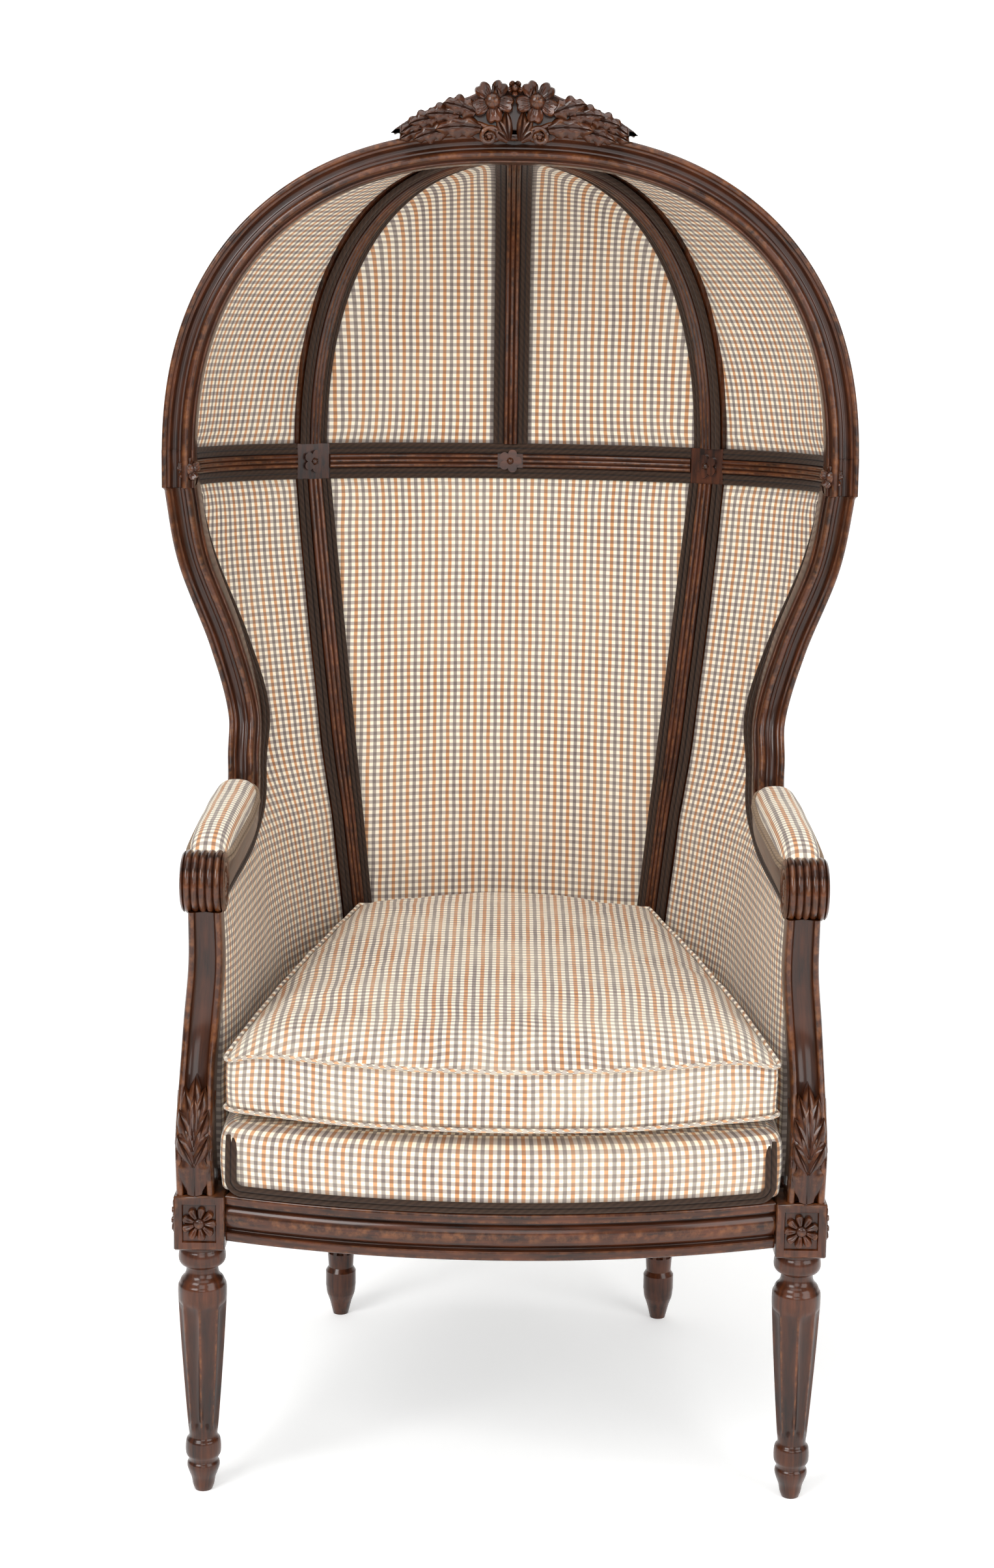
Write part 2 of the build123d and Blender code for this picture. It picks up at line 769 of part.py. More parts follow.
def hood_rib(turn, reach):
    """A rib from the ring to the crown, in the upright plane that holds the crown."""
    outward = (cos(turn), sin(turn), 0)
    place = Plane(origin=(0, ring_axis_y, ring_height), x_dir=outward, z_dir=(sin(turn), -cos(turn), 0))
    with BuildPart() as rib:
        for inner, outer, width in (
            (-wood_half + rebate, wood_half - rib_relief, member_width),
            (-wood_half, -wood_half + rebate, reed_width),
        ):
            extrude(hood_band(place.offset(-width / 2), reach, inner, outer), width)
        with Locations((0, arch_back + seam, ring_high)):
            Box(total_depth, total_depth, total_depth, align=behind_and_up, mode=Mode.INTERSECT)
    return rib.part


centre_rib = hood_rib(pi / 2, ring_half_depth)
with BuildPart() as hood_centre_rib:
    add(centre_rib)
export(hood_centre_rib, "hood_centre_rib")
with BuildPart() as side_rib:
    add(hood_rib(rib_turn, rib_reach))
    with Locations((clear_member, 0, 0)):
        Box(total_depth, total_depth * 2, total_height, align=outward_and_up, mode=Mode.INTERSECT)
export_pair(side_rib.part, "hood_rib")


def hood_place(height, turn, grow):
    """A point of the hood's plan at a height."""
    wide = profile_width(height, grow)
    return (
        (ring_half_width + grow) * wide * cos(turn),
        ring_axis_y + (ring_half_depth + grow) * wide * sin(turn),
    )


def rib_side_turn(height, grow, direction, offset):
    """Turn on the hood's plan where a rib's side, at an offset from its middle, cuts it."""
    wide = profile_width(height, grow)
    long_axis = (ring_half_width + grow) * wide * sin(direction)
    short_axis = (ring_half_depth + grow) * wide * cos(direction)
    reach = hypot(long_axis, short_axis)
    return atan2(long_axis, short_axis) + asin(max(-1, min(1, offset / reach)))


def arch_side_turn(height, grow, offset):
    """Turn on the hood's plan at an offset behind the arch's middle."""
    depth = (ring_half_depth + grow) * profile_width(height, grow)
    return asin(min(1, offset / depth))


def hood_slice(height, turns, inner, outer):
    """Slice of a hood piece between two turns, given for each layer."""
    edges = []
    for grow in (inner, outer):
        start, end = turns(grow)
        steps = [start + (end - start) * count / strip_steps for count in range(strip_steps + 1)]
        edges.append([hood_place(height, step, grow) for step in steps])
    with BuildSketch(Plane.XY.offset(height)) as face:
        with BuildLine():
            Spline(*edges[0])
            Spline(*edges[1])
            Line(edges[0][0], edges[1][0])
            Line(edges[0][-1], edges[1][-1])
        make_face()
    return face.sketch


hood_level_shares = [0.0, 0.2, 0.4, 0.55, 0.68, 0.78, 0.86, 0.92, 0.96, 0.989]
hood_heights = [
    ring_height + clear_member + (dome_rise - panel_inner - clear_member) * share for share in hood_level_shares
]

with BuildPart() as hood_side_panel:
    add(
        stacked(
            [
                hood_slice(
                    height,
                    lambda grow: (
                        arch_side_turn(height, grow, arch_depth / 2 + seam),
                        rib_side_turn(height, grow, rib_turn, -clear_member),
                    ),
                    -panel_inner,
                    panel_outer,
                )
                for height in hood_heights
            ]
        )
    )
export_pair(hood_side_panel.part, "hood_side_panel")
with BuildPart() as hood_back_panel:
    add(
        stacked(
            [
                hood_slice(
                    height,
                    lambda grow: (
                        rib_side_turn(height, grow, rib_turn, clear_member),
                        rib_side_turn(height, grow, pi / 2, -clear_member),
                    ),
                    -panel_inner,
                    panel_outer,
                )
                for height in hood_heights
            ]
        )
    )
export_pair(hood_back_panel.part, "hood_back_panel")

print("upholstered panels")
deck_top = rail_top + deck_height
support_reach = 28.0
side_front = front_y + block_size / 2 + support_reach


def side_start(height):
    """Front edge of the side panel: behind the arm support, then beside the sweeping frame."""
    if height < arm_under:
        return side_front
    return blend(height, [place[1] for place in edge_path], [place[0] for place in edge_path])


def side_slice(height, inner, outer, clearance):
    """Slice of a side panel from its front edge to the stile."""
    return strip(height, 0, side_edge(height, clearance), inner, outer, max(side_start(height), side_front))


with BuildPart() as side_panel:
    add(stacked([side_slice(height, -panel_inner, panel_outer, clear_member) for height in wall_heights]))
export_pair(side_panel.part, "side_panel")
with BuildPart() as back_panel:
    add(stacked([back_strip(height, clear_member, -panel_inner, panel_outer) for height in wall_heights]))
export(back_panel, "back_panel")

# Outside covers, drawn over the backs of the wooden members
cover_inner = wood_half + seam
cover_outer = cover_inner + cover_thick
cover_seam = 1.5
flare = 12.0
cover_levels = [height for height in wall_heights if height < ring_low - flare * 2]
ring_levels = [ring_low - flare, ring_high]
ring_cover_places = [
    (ring_low - flare, side_start(ring_low - flare) + frame_gap),
    (ring_low - seam * 2, ring_foot[0]),
    (ring_high, ring_foot[0]),
]
with BuildPart() as outer_side_cover:
    faces = [side_slice(height, cover_inner, cover_outer, cover_seam) for height in cover_levels]
    for height, depth in ring_cover_places:
        face = strip(ring_height, 0, side_edge(ring_height, cover_seam), cover_inner, cover_outer, depth)
        faces.append(face.moved(Location((0, 0, height - ring_height))))
    add(stacked(faces))
export_pair(outer_side_cover.part, "outer_side_cover")
with BuildPart() as outer_back_cover:
    faces = [back_strip(height, cover_seam, cover_inner, cover_outer) for height in cover_levels]
    ring_face = back_strip(ring_height, cover_seam, cover_inner, cover_outer)
    add(stacked(faces + [ring_face.moved(Location((0, 0, height - ring_height))) for height in ring_levels]))
export(outer_back_cover, "outer_back_cover")
crown_level_shares = [0.0, 0.2, 0.4, 0.55, 0.68, 0.78, 0.86, 0.92, 0.96, 0.985, 0.9985]
cover_heights = [
    ring_height + clear_member + (dome_rise + cover_inner - clear_member) * share for share in crown_level_shares
]
with BuildPart() as outer_hood_cover:
    add(
        stacked(
            [
                hood_slice(
                    height,
                    lambda grow: (
                        arch_side_turn(height, grow, arch_depth / 2 + seam),
                        rib_side_turn(height, grow, pi / 2, -seam),
                    ),
                    cover_inner,
                    cover_outer,
                )
                for height in cover_heights
            ]
        )
    )
export_pair(outer_hood_cover.part, "outer_hood_cover")

# Double cord that trims each panel beside the wood, lying in the members' rebates
welt_width = (member_width - reed_width) / 2 - seam * 2
welt_inner = -wood_half - welt_proud + rebate / 2
welt_outer = -wood_half + rebate - seam
welt_share = welt_width / member_width
with BuildPart() as stile_welts:
    for low_share in (seam / member_width, 1 - seam / member_width - welt_share):
        add(
            stacked(
                [
                    member_slice(height, low_share, low_share + welt_share, welt_inner, welt_outer)
                    for height in wall_heights
                ]
            )
        )
export_pair(stile_welts.part, "stile_welts")


def rib_welts(turn, reach):
    """Cord on both sides of a rib's reed."""
    outward = (cos(turn), sin(turn), 0)
    place = Plane(origin=(0, ring_axis_y, ring_height), x_dir=outward, z_dir=(sin(turn), -cos(turn), 0))
    with BuildPart() as cords:
        for start in (-member_width / 2, reed_half_across + seam):
            extrude(hood_band(place.offset(start), reach, welt_inner, welt_outer), welt_width)
        with Locations((0, arch_back + seam, ring_high + seam)):
            Box(total_depth, total_depth, total_depth, align=behind_and_up, mode=Mode.INTERSECT)
    return cords.part


with BuildPart() as centre_rib_welts:
    add(rib_welts(pi / 2, ring_half_depth))
export(centre_rib_welts, "centre_rib_welts")
with BuildPart() as side_rib_welts:
    add(rib_welts(rib_turn, rib_reach))
    with Locations((clear_member, 0, 0)):
        Box(total_depth, total_depth * 2, total_height, align=outward_and_up, mode=Mode.INTERSECT)
export_pair(side_rib_welts.part, "hood_rib_welts")
with BuildPart() as ring_welts:
    for low in (ring_low, ring_high - welt_width):
        add(back_ring_band(welt_inner, welt_outer, low, low + welt_width))
export(ring_welts, "ring_back_welts")
with BuildPart() as ring_side_welts:
    for low in (ring_low, ring_high - welt_width):
        add(ring_band(ring_front_across, ring_side_end, welt_inner, welt_outer, low, low + welt_width))
    with Locations((ring_half_width, ring_axis_y, ring_low)):
        Box(
            ring_block_size + seam * 2,
            ring_block_size + seam * 2,
            member_width,
            align=(Align.CENTER, Align.CENTER, Align.MIN),
            mode=Mode.SUBTRACT,
        )
export_pair(ring_side_welts.part, "ring_welts")

print("arms")
pad_depth_shares = [0.075, 0.14, 0.30, 0.46, 0.60, 0.655]
pad_width = 62.0
pad_width_shares = [0.71, 0.903, 1.0, 1.0, 0.903, 0.645]
pad_thick = 34.0
pad_thick_shares = [0.53, 0.882, 1.0, 1.0, 0.882, 0.53]
pad_lift = 0.8
pad_side_share = 0.45
pad_foot_share = 0.42
pad_start_share = 0.1
pad_station = 6


def arm_top(depth):
    """Upper face of the arm rail at a depth."""
    places = [front_y + seat_depth * share for share in path_depth_shares[:arm_last]]
    heights = [rail_top + body_height * share for share in path_height_shares[:arm_last]]
    return blend(depth, places, heights) + frame_half * arm_thick_share


with BuildPart() as arm_pad:
    for depth_share, width_share, thick_share in zip(pad_depth_shares, pad_width_shares, pad_thick_shares):
        depth = front_y + seat_depth * depth_share
        low = arm_top(depth) + pad_lift
        drawn_in = path_point(pad_station).X - path_point(0).X
        centre_x = path_point(0).X + drawn_in * max(depth_share - pad_start_share, 0)
        half, thick = pad_width * width_share / 2, pad_thick * thick_share
        side, foot = thick * pad_side_share, half * 2 * pad_foot_share
        with BuildSketch(Plane(origin=(centre_x, depth, low), x_dir=(1, 0, 0), z_dir=(0, -1, 0))):
            with BuildLine():
                ThreePointArc((-half, side), (0, thick), (half, side))
                Polyline((half, side), (foot, 0), (-foot, 0), (-half, side))
            make_face()
    loft(ruled=True)
    add(arm_rail.part, mode=Mode.SUBTRACT)
    add(wing_stile.part, mode=Mode.SUBTRACT)
export_pair(arm_pad.part, "arm_pad")

print("seat")
deck_side_gap = 4.0


def seat_outline(height, half_front, front_place, bow, gap, back_gap, corner, size_share):
    """Plan inside the upholstered walls: bowed front with rounded corners, sides that follow the walls."""
    reach_in = -panel_inner - gap
    sides_in = [wall_point(height, across, reach_in) for across in seat_across]
    stile_in = -wood_half - gap
    stile_points = [member_point(height, share, stile_in - back_gap * share) for share in (0, 1)]
    slack = (half_front - corner) / half_front
    tip = (half_front - corner, front_place - bow * (1 - slack * slack))
    low = front_place + corner
    turn = (half_front - corner * corner_bend_share, (tip[1] + low) / 2 - corner * corner_bend_share)
    points = [(half_front, low), (half_front, front_y + block_size), *sides_in, *stile_points]
    last = points[-1]
    middle = (0, wall_mid(height, 3)[1] + reach_in - back_gap)
    centre = (front_place + middle[1]) / 2

    def sized(place, sign=1):
        return place[0] * sign * size_share, centre + (place[1] - centre) * size_share

    with BuildSketch(Plane.XY.offset(height)) as face:
        with BuildLine():
            for sign in (1, -1):
                Polyline(*[sized(place, sign) for place in points])
                ThreePointArc(*[sized(place, sign) for place in (points[0], turn, tip)])
            ThreePointArc(sized(tip, -1), sized((0, front_place - bow)), sized(tip))
            ThreePointArc(sized(last, -1), sized(middle), sized(last))
        make_face()
    return face.sketch


seat_across = [0.6, 1.0, 1.35, 1.6]
corner_bend_share = 0.25
deck_corner = 5.0
cushion_corner = 24.0
web_width = 50.0
deck_low = wall_low
deck_half = leg_half_spread - block_size / 2 + rail_setback
deck_level_shares = [0.0, 0.18, 0.60, 0.85, 1.0]
deck_size_shares = [0.985, 1.0, 1.0, 0.98, 0.955]
with BuildPart() as seat_deck:
    add(
        stacked(
            [
                seat_outline(
                    deck_low + (deck_top - deck_low) * share,
                    deck_half,
                    front_rail_y + deck_setback,
                    front_bow,
                    deck_side_gap,
                    0.0,
                    deck_corner,
                    size_share,
                )
                for share, size_share in zip(deck_level_shares, deck_size_shares)
            ]
        )
    )
    add(arm_support.part, mode=Mode.SUBTRACT)
    add(mirror(arm_support.part, about=Plane.YZ, mode=Mode.PRIVATE), mode=Mode.SUBTRACT)
export(seat_deck, "seat_deck")

# Woven webbing across the seat frame: one layer front to back, one side to side
web_across_shares = [-0.62, -0.21, 0.21, 0.62]
web_along_shares = [0.17, 0.39, 0.61, 0.83]
web_hold = 12.0
with BuildPart() as seat_webbing:
    for share in web_across_shares:
        place = back_block_inner * share
        low = front_rail_y - front_bow * (1 - (place / front_block_inner) ** 2) + web_hold
        high = back_rail_face + back_bow_low * (1 - share * share) - web_hold
        with Locations((place, (low + high) / 2, rail_top)):
            Box(web_width, high - low, web_thick, align=(Align.CENTER, Align.CENTER, Align.MIN))
    for share in web_along_shares:
        place = front_y + seat_depth * share
        half = wall_mid(rail_top, side_across_at(rail_top, place + web_width / 2))[0]
        with Locations((0, place, rail_top + web_thick)):
            Box(half * 2, web_width, web_thick, align=(Align.CENTER, Align.CENTER, Align.MIN))
export(seat_webbing, "seat_webbing")

cloth_thick = 1.2
with BuildPart() as bottom_cloth:
    with BuildSketch(Plane.XY.offset(rail_bottom - cloth_thick)):
        with BuildLine():
            cloth_points = [
                (front_block_inner - seam, front_rail_y + rail_thick / 2),
                (front_block_inner - seam, front_block_back + seam),
                (leg_half_spread, front_block_back + seam),
                (back_leg_half_spread, back_block_front - seam),
                (back_block_inner - seam, back_block_front - seam),
                (back_block_inner - seam, back_rail_face - rail_thick / 2),
            ]
            Polyline(*cloth_points)
            Polyline(*[(-x, y) for x, y in cloth_points])
            ThreePointArc(
                (-cloth_points[0][0], cloth_points[0][1]),
                (0, cloth_points[0][1] - front_bow),
                cloth_points[0],
            )
            Line(cloth_points[-1], (-cloth_points[-1][0], cloth_points[-1][1]))
        make_face()
    extrude(amount=cloth_thick)
export(bottom_cloth, "bottom_cloth")

# Glued corner blocks in the angles of the seat frame, each notched round a leg
corner_leg = 62.0
corner_height = 40.0
corner_side_y = back_block_front - corner_leg
corner_outlines = [
    [
        (front_block_inner - corner_leg, front_rail_y),
        (leg_half_spread, front_block_back + corner_leg),
        (leg_half_spread, front_rail_y),
    ],
    [
        (back_block_inner - corner_leg, back_rail_face),
        (wall_point(rail_top, side_across_at(rail_top, corner_side_y), 0)[0], corner_side_y),
        (back_leg_half_spread, back_rail_face),
    ],
]


def corner_block(outline, leg):
    """Block that fills the angle between two rails, behind a leg."""
    with BuildPart() as block:
        with BuildSketch(Plane.XY.offset(rail_top - rail_height / 2 - corner_height / 2)):
            with BuildLine():
                Polyline(*outline, outline[0])
            make_face()
        extrude(amount=corner_height)
        for other in (leg, front_seat_rail.part, side_seat_rail.part, back_seat_rail.part):
            add(other, mode=Mode.SUBTRACT)
    return block.part.solids().sort_by(SortBy.VOLUME)[-1]


with BuildPart() as corner_blocks:
    for outline, leg in zip(corner_outlines, (front_leg_piece.part, back_post.part)):
        block = corner_block(outline, leg)
        add(block)
        add(mirror(block, about=Plane.YZ, mode=Mode.PRIVATE))
export(corner_blocks, "corner_blocks")

# Double cord that trims the tight seat front where it meets the rail
apron_welt_height = 8.0
apron_half = front_block_inner - seam
with BuildPart() as apron_welt:
    add(
        rail_band(
            (-apron_half, front_rail_y),
            (apron_half, front_rail_y),
            front_bow,
            welt_proud,
            -deck_setback + seam,
            rail_top + seam,
            rail_top + seam + apron_welt_height,
        )
    )
export(apron_welt, "apron_welt")

# Loose cushion: boxed, crowned above and below, its sides drawn in between the two piped edges
cushion_low = deck_top + seam
cushion_level_shares = [0.0, 0.06, 0.15, 0.50, 0.85, 0.94, 1.06, 1.15, 1.22, 1.27, 1.29]
cushion_size_shares = [0.95, 0.99, 1.0, 0.986, 1.0, 0.99, 0.93, 0.84, 0.70, 0.50, 0.30]


def cushion_slice(share, size_share):
    """Slice of the cushion; the slices tilt up towards the back, where it is thickest."""
    height = cushion_low + cushion_height * share
    face = seat_outline(
        height,
        cushion_half_width,
        front_rail_y + deck_setback,
        front_bow + cushion_overhang,
        deck_side_gap * 2,
        cushion_back_gap,
        cushion_corner,
        size_share,
    )
    hinge = Location((0, front_rail_y - front_bow - cushion_overhang, height))
    return face.moved(hinge * Location((0, 0, 0), (cushion_tilt * min(share, 1), 0, 0)) * hinge.inverse())


with BuildPart() as seat_cushion:
    add(stacked([cushion_slice(*shares) for shares in zip(cushion_level_shares, cushion_size_shares)]))
export(seat_cushion, "seat_cushion")

print("carved crest")
crest_half_width = 144.0
crest_height = 77.0
crest_drop = 3.0
crest_front = 9.0
crest_back = 8.0
crest_relief = 5.0
crest_x_shares = [
    0.0, 0.06, 0.11, 0.27, 0.33, 0.36, 0.44, 0.55, 0.65, 0.72, 0.80, 0.87, 0.95, 1.0,
    0.93, 0.75, 0.62, 0.50, 0.33, 0.29, 0.22, 0.155, 0.12, 0.05, 0.0,
]
crest_z_shares = [
    0.98, 0.97, 1.0, 0.96, 0.90, 0.86, 0.78, 0.775, 0.66, 0.60, 0.55, 0.47, 0.38, 0.20,
    0.19, 0.17, 0.155, 0.19, 0.14, 0.05, 0.01, 0.06, 0.14, 0.03, 0.06,
]
crest_low = ring_height + dome_rise - crest_drop
flower_place_shares = (0.183, 0.70)
flower_radius = 24.0
flower_petals = 5
volute_place_shares = (0.22, 0.14)
volute_radius = 10.0
volute_hollow_share = 0.55
volute_heart_share = 0.3
bud_radius = 7.0
bud_share = 0.91
leaf_place_shares = [(0.45, 0.60), (0.62, 0.47), (0.78, 0.36)]
leaf_length = 34.0
leaf_width = 13.0
leaf_turn = 24.0
crest_face = Plane(
    origin=(0, ring_axis_y - arch_depth / 2 - crest_front, crest_low), x_dir=(1, 0, 0), z_dir=(0, -1, 0)
)


def crest_spot(shares, sign):
    """A place on the crest's face."""
    return crest_half_width * shares[0] * sign, crest_height * shares[1]


with BuildPart() as arch_room:
    for sign in (1, -1):
        room_plane = arch_plane.offset(-total_depth / 2)
        band = hood_band(room_plane, ring_half_width, -frame_half * 2, frame_half + seam)
        half = extrude(band, total_depth / 2 + arch_depth / 2 + seam, mode=Mode.PRIVATE)
        add(half if sign > 0 else mirror(half, about=Plane.YZ, mode=Mode.PRIVATE))
with BuildPart() as crest_carving:
    with BuildSketch(crest_face):
        with BuildLine():
            right = [crest_spot(place, 1) for place in zip(crest_x_shares, crest_z_shares)]
            Polyline(*right)
            Polyline(*[(-x, z) for x, z in right])
        make_face()
    extrude(amount=-(arch_depth / 2 + crest_front + crest_back))
    add(arch_room.part, mode=Mode.SUBTRACT)
    for sign in (1, -1):
        flower_x, flower_z = crest_spot(flower_place_shares, sign)
        flower_face = crest_face * Location((flower_x, flower_z, 0))
        add(rosette(Plane(flower_face), flower_radius, flower_petals))
        with BuildSketch(crest_face):
            with Locations(crest_spot(volute_place_shares, sign)):
                Circle(volute_radius)
                Circle(volute_radius * volute_hollow_share, mode=Mode.SUBTRACT)
                Circle(volute_radius * volute_heart_share)
            for place in leaf_place_shares:
                with Locations(Location((*crest_spot(place, sign), 0), (0, 0, -leaf_turn * sign))):
                    Ellipse(leaf_length / 2, leaf_width / 2)
        extrude(amount=crest_relief)
    with Locations(crest_face * Location((0, crest_height * bud_share, 0))):
        Sphere(bud_radius)
export(crest_carving, "crest_carving")
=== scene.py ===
"""Hall porter chair: the looks of the wood, cloth, cord and carving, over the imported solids."""

from math import acos, asin, atan2, cos, exp, hypot, pi, radians, sin, sqrt, tan

import bpy
import bmesh
from mathutils import Matrix, Vector, noise


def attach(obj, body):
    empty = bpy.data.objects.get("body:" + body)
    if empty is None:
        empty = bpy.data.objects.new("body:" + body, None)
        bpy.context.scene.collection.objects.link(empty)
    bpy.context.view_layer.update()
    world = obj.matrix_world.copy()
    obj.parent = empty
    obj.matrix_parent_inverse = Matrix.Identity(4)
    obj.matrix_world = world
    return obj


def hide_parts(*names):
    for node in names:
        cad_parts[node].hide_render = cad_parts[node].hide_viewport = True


bl_info = {
    "name": "Hall Porter Chair",
    "version": (1, 0, 0),
    "blender": (4, 5, 0),
    "location": "View3D > Sidebar > Chair",
    "description": "Builds the mouldings, carving, panels, cords and cushion of a hall porter chair",
    "category": "Add Mesh",
}

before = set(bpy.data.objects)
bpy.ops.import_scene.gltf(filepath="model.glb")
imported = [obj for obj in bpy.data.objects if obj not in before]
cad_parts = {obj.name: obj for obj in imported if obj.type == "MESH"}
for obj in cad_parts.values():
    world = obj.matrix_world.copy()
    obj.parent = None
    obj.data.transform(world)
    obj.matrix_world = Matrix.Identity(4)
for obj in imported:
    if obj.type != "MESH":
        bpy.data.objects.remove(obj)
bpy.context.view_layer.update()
MM = 0.001

# Sizes of the chair, in millimetres, as its solids have them
leg_half_spread = 342.0
back_leg_half_spread = 218.0
seat_depth = 537.0
rail_top = 364.0
ring_height = 1165.0
ring_half_width = 407.0
dome_rise = 391.0
back_rake = 30.0
back_bow = 75.0
back_bow_low = 45.0
stile_foot_x = 185.0
stile_top_x = 267.0
ring_axis_share = 0.640
wood_half = 14.0
frame_half = 20.0
panel_inner = 12.0
panel_outer = 3.0
cover_thick = 5.0
seam = 0.3
member_width = 46.0
arch_depth = 38.0
block_size = 58.0
block_height = 64.0
rail_height = 54.0
rail_thick = 30.0
front_bow = 52.0
rail_setback = 5.0
deck_height = 91.0
deck_setback = 4.0
cushion_height = 84.0
cushion_half_width = 316.0
cushion_overhang = 14.0
cushion_back_gap = 20.0
rail_proud = 2.0
rail_bottom = rail_top - rail_height
block_bottom = rail_top - block_height
body_height = ring_height - rail_top
front_reach = block_size / 2 - rail_setback + front_bow + cushion_overhang
total_depth = front_reach + seat_depth + back_rake + back_bow + wood_half + seam + cover_thick
front_y = front_reach - total_depth / 2
back_y = front_y + seat_depth
ring_axis_y = front_y + seat_depth * ring_axis_share
ring_half_depth = back_y + back_rake + back_bow - ring_axis_y
ring_low = ring_height - member_width / 2
ring_high = ring_height + member_width / 2
front_rail_y = front_y - block_size / 2 + rail_setback
front_block_inner = leg_half_spread - block_size / 2
back_block_inner = back_leg_half_spread - block_size / 2
front_block_back = front_y + block_size / 2
back_block_front = back_y - block_size / 2
back_rail_face = back_y + block_size / 2 - rail_setback
deck_low = rail_top + 4.3
deck_top = rail_top + deck_height


# The upholstered wall

wall_level_shares = [0.0, 0.107, 0.27, 0.42, 0.52, 0.60, 0.707, 0.857, 1.0]
wall_front_shares = [0.988, 0.968, 0.934, 0.918, 0.915, 0.913, 0.944, 1.008, 1.0]
wall_side_shares = [0.851, 0.846, 0.851, 0.882, 0.897, 0.895, 0.925, 0.996, 1.0]
wall_depth_shares = [0.59, 0.60, 0.612, 0.62, 0.76, 0.80, 0.80, 0.74, ring_axis_share]
wall_front_inset = 28.0
control_share = 0.62
probe_share = 0.001
centre_across = 2.9995


def blend(level, levels, values):
    """Straight-line value of a table at a level."""
    for index in range(len(levels) - 1):
        if level <= levels[index + 1]:
            part = (level - levels[index]) / (levels[index + 1] - levels[index])
            return values[index] + (values[index + 1] - values[index]) * part
    return values[-1]


def soft_blend(level, levels, values):
    """Smooth value of a table at a level."""
    for index in range(len(levels) - 1):
        if level <= levels[index + 1]:
            part = (level - levels[index]) / (levels[index + 1] - levels[index])
            near, far = values[index], values[index + 1]
            before = values[index - 1] if index else near * 2 - far
            after = values[index + 2] if index + 2 < len(values) else far * 2 - near
            low_run, high_run = (far - before) / 2, (after - near) / 2
            square, cube = part * part, part * part * part
            return (
                near * (2 * cube - 3 * square + 1)
                + low_run * (cube - 2 * square + part)
                + far * (3 * square - 2 * cube)
                + high_run * (cube - square)
            )
    return values[-1]


def wall_mid(height, across):
    """Middle of the wall: across runs 0 to 1 beside the seat, to 2 at the stile, to 3 at the centre back."""
    level = (height - rail_top) / body_height
    reach = leg_half_spread + (ring_half_width - leg_half_spread) * level
    front_x = reach * soft_blend(level, wall_level_shares, wall_front_shares)
    side_x = reach * soft_blend(level, wall_level_shares, wall_side_shares)
    side_y = front_y + seat_depth * soft_blend(level, wall_level_shares, wall_depth_shares)
    start_y = front_y + wall_front_inset
    stile_x = stile_foot_x + (stile_top_x - stile_foot_x) * level
    stile_y = back_y + back_rake * level
    if across <= 1:
        return side_x + (front_x - side_x) * (1 - across), side_y + (start_y - side_y) * (1 - across)
    if across <= 2:
        turn = across - 1
        slope = (side_x - front_x) / (side_y - start_y)
        control_y = side_y + (stile_y - side_y) * control_share
        control_x = side_x + (control_y - side_y) * slope
        far = 1 - turn
        return (
            far * far * side_x + 2 * far * turn * control_x + turn * turn * stile_x,
            far * far * side_y + 2 * far * turn * control_y + turn * turn * stile_y,
        )
    bow = back_bow_low + (back_bow - back_bow_low) * level
    out = 3 - across
    return stile_x * out, stile_y + bow * (1 - out * out)


def wall_point(height, across, grow):
    """A point of the wall moved outwards, square to its plan."""
    here = wall_mid(height, across)
    low = wall_mid(height, max(across - probe_share, 0))
    high = wall_mid(height, min(across + probe_share, 3))
    run = (high[0] - low[0], high[1] - low[1])
    length = hypot(*run)
    return here[0] + run[1] / length * grow, here[1] - run[0] / length * grow


def side_across_at(height, depth_y, grow=0.0):
    """How far along the side the wall reaches a given depth."""
    low, high = 0.0, 2.0
    for _ in range(24):
        middle = (low + high) / 2
        if wall_point(height, middle, grow)[1] < depth_y:
            low = middle
        else:
            high = middle
    return low


def side_edge(height, offset):
    """Place on the side part of the wall at a distance before the stile."""
    stile = wall_mid(height, 2)
    low, high = 1.0, 2.0
    for _ in range(24):
        middle = (low + high) / 2
        point = wall_mid(height, middle)
        if hypot(point[0] - stile[0], point[1] - stile[1]) > offset:
            low = middle
        else:
            high = middle
    return low


def back_edge(height, offset):
    """Place on the back part of the wall at a distance past the stile."""
    return 2 + offset / wall_mid(height, 2)[0]


def member_point(height, across_share, grow):
    """A point of a stile's section: across runs 0 to 1 from its side edge to its back edge."""
    before = wall_point(height, side_edge(height, member_width / 2), grow)
    after = wall_point(height, back_edge(height, member_width / 2), grow)
    return tuple(low + (high - low) * across_share for low, high in zip(before, after))


# The frame's path, from the arm scroll to the ring

path_depth_shares = [0.07, 0.25, 0.45, 0.62, 0.735, 0.80, 0.842, 0.828, 0.782, 0.71, ring_axis_share]
path_height_shares = [0.438, 0.446, 0.452, 0.463, 0.490, 0.535, 0.605, 0.70, 0.82, 0.92, 1.0]
stations = list(range(len(path_depth_shares)))


def frame_place(station):
    """A place on the frame's path; stations 0 to 4 are the arm, 4 to 10 the wing."""
    height = rail_top + body_height * soft_blend(station, stations, path_height_shares)
    depth = front_y + seat_depth * soft_blend(station, stations, path_depth_shares)
    across = side_across_at(height, depth)
    return Vector((wall_point(height, across, 0)[0], depth, height))


def frame_axes(station):
    """Place, outward axis and face axis of the frame at a station."""
    here = frame_place(station)
    along = (frame_place(min(station + 0.15, 10)) - frame_place(max(station - 0.15, 0))).normalized()
    if station >= 10:
        along = Vector((0, 0, 1))
    across = Vector((1, 0, 0))
    across = (across - along * across.dot(along)).normalized()
    return here, across, across.cross(along)


# The hood

dome_bulge = 2.38


def profile_width(height, grow):
    """Width of the hood at a height, as a share of its width at the ring."""
    level = min(max((height - ring_height) / (dome_rise + grow), 0), 1)
    return (1 - level**dome_bulge) ** (1 / dome_bulge)


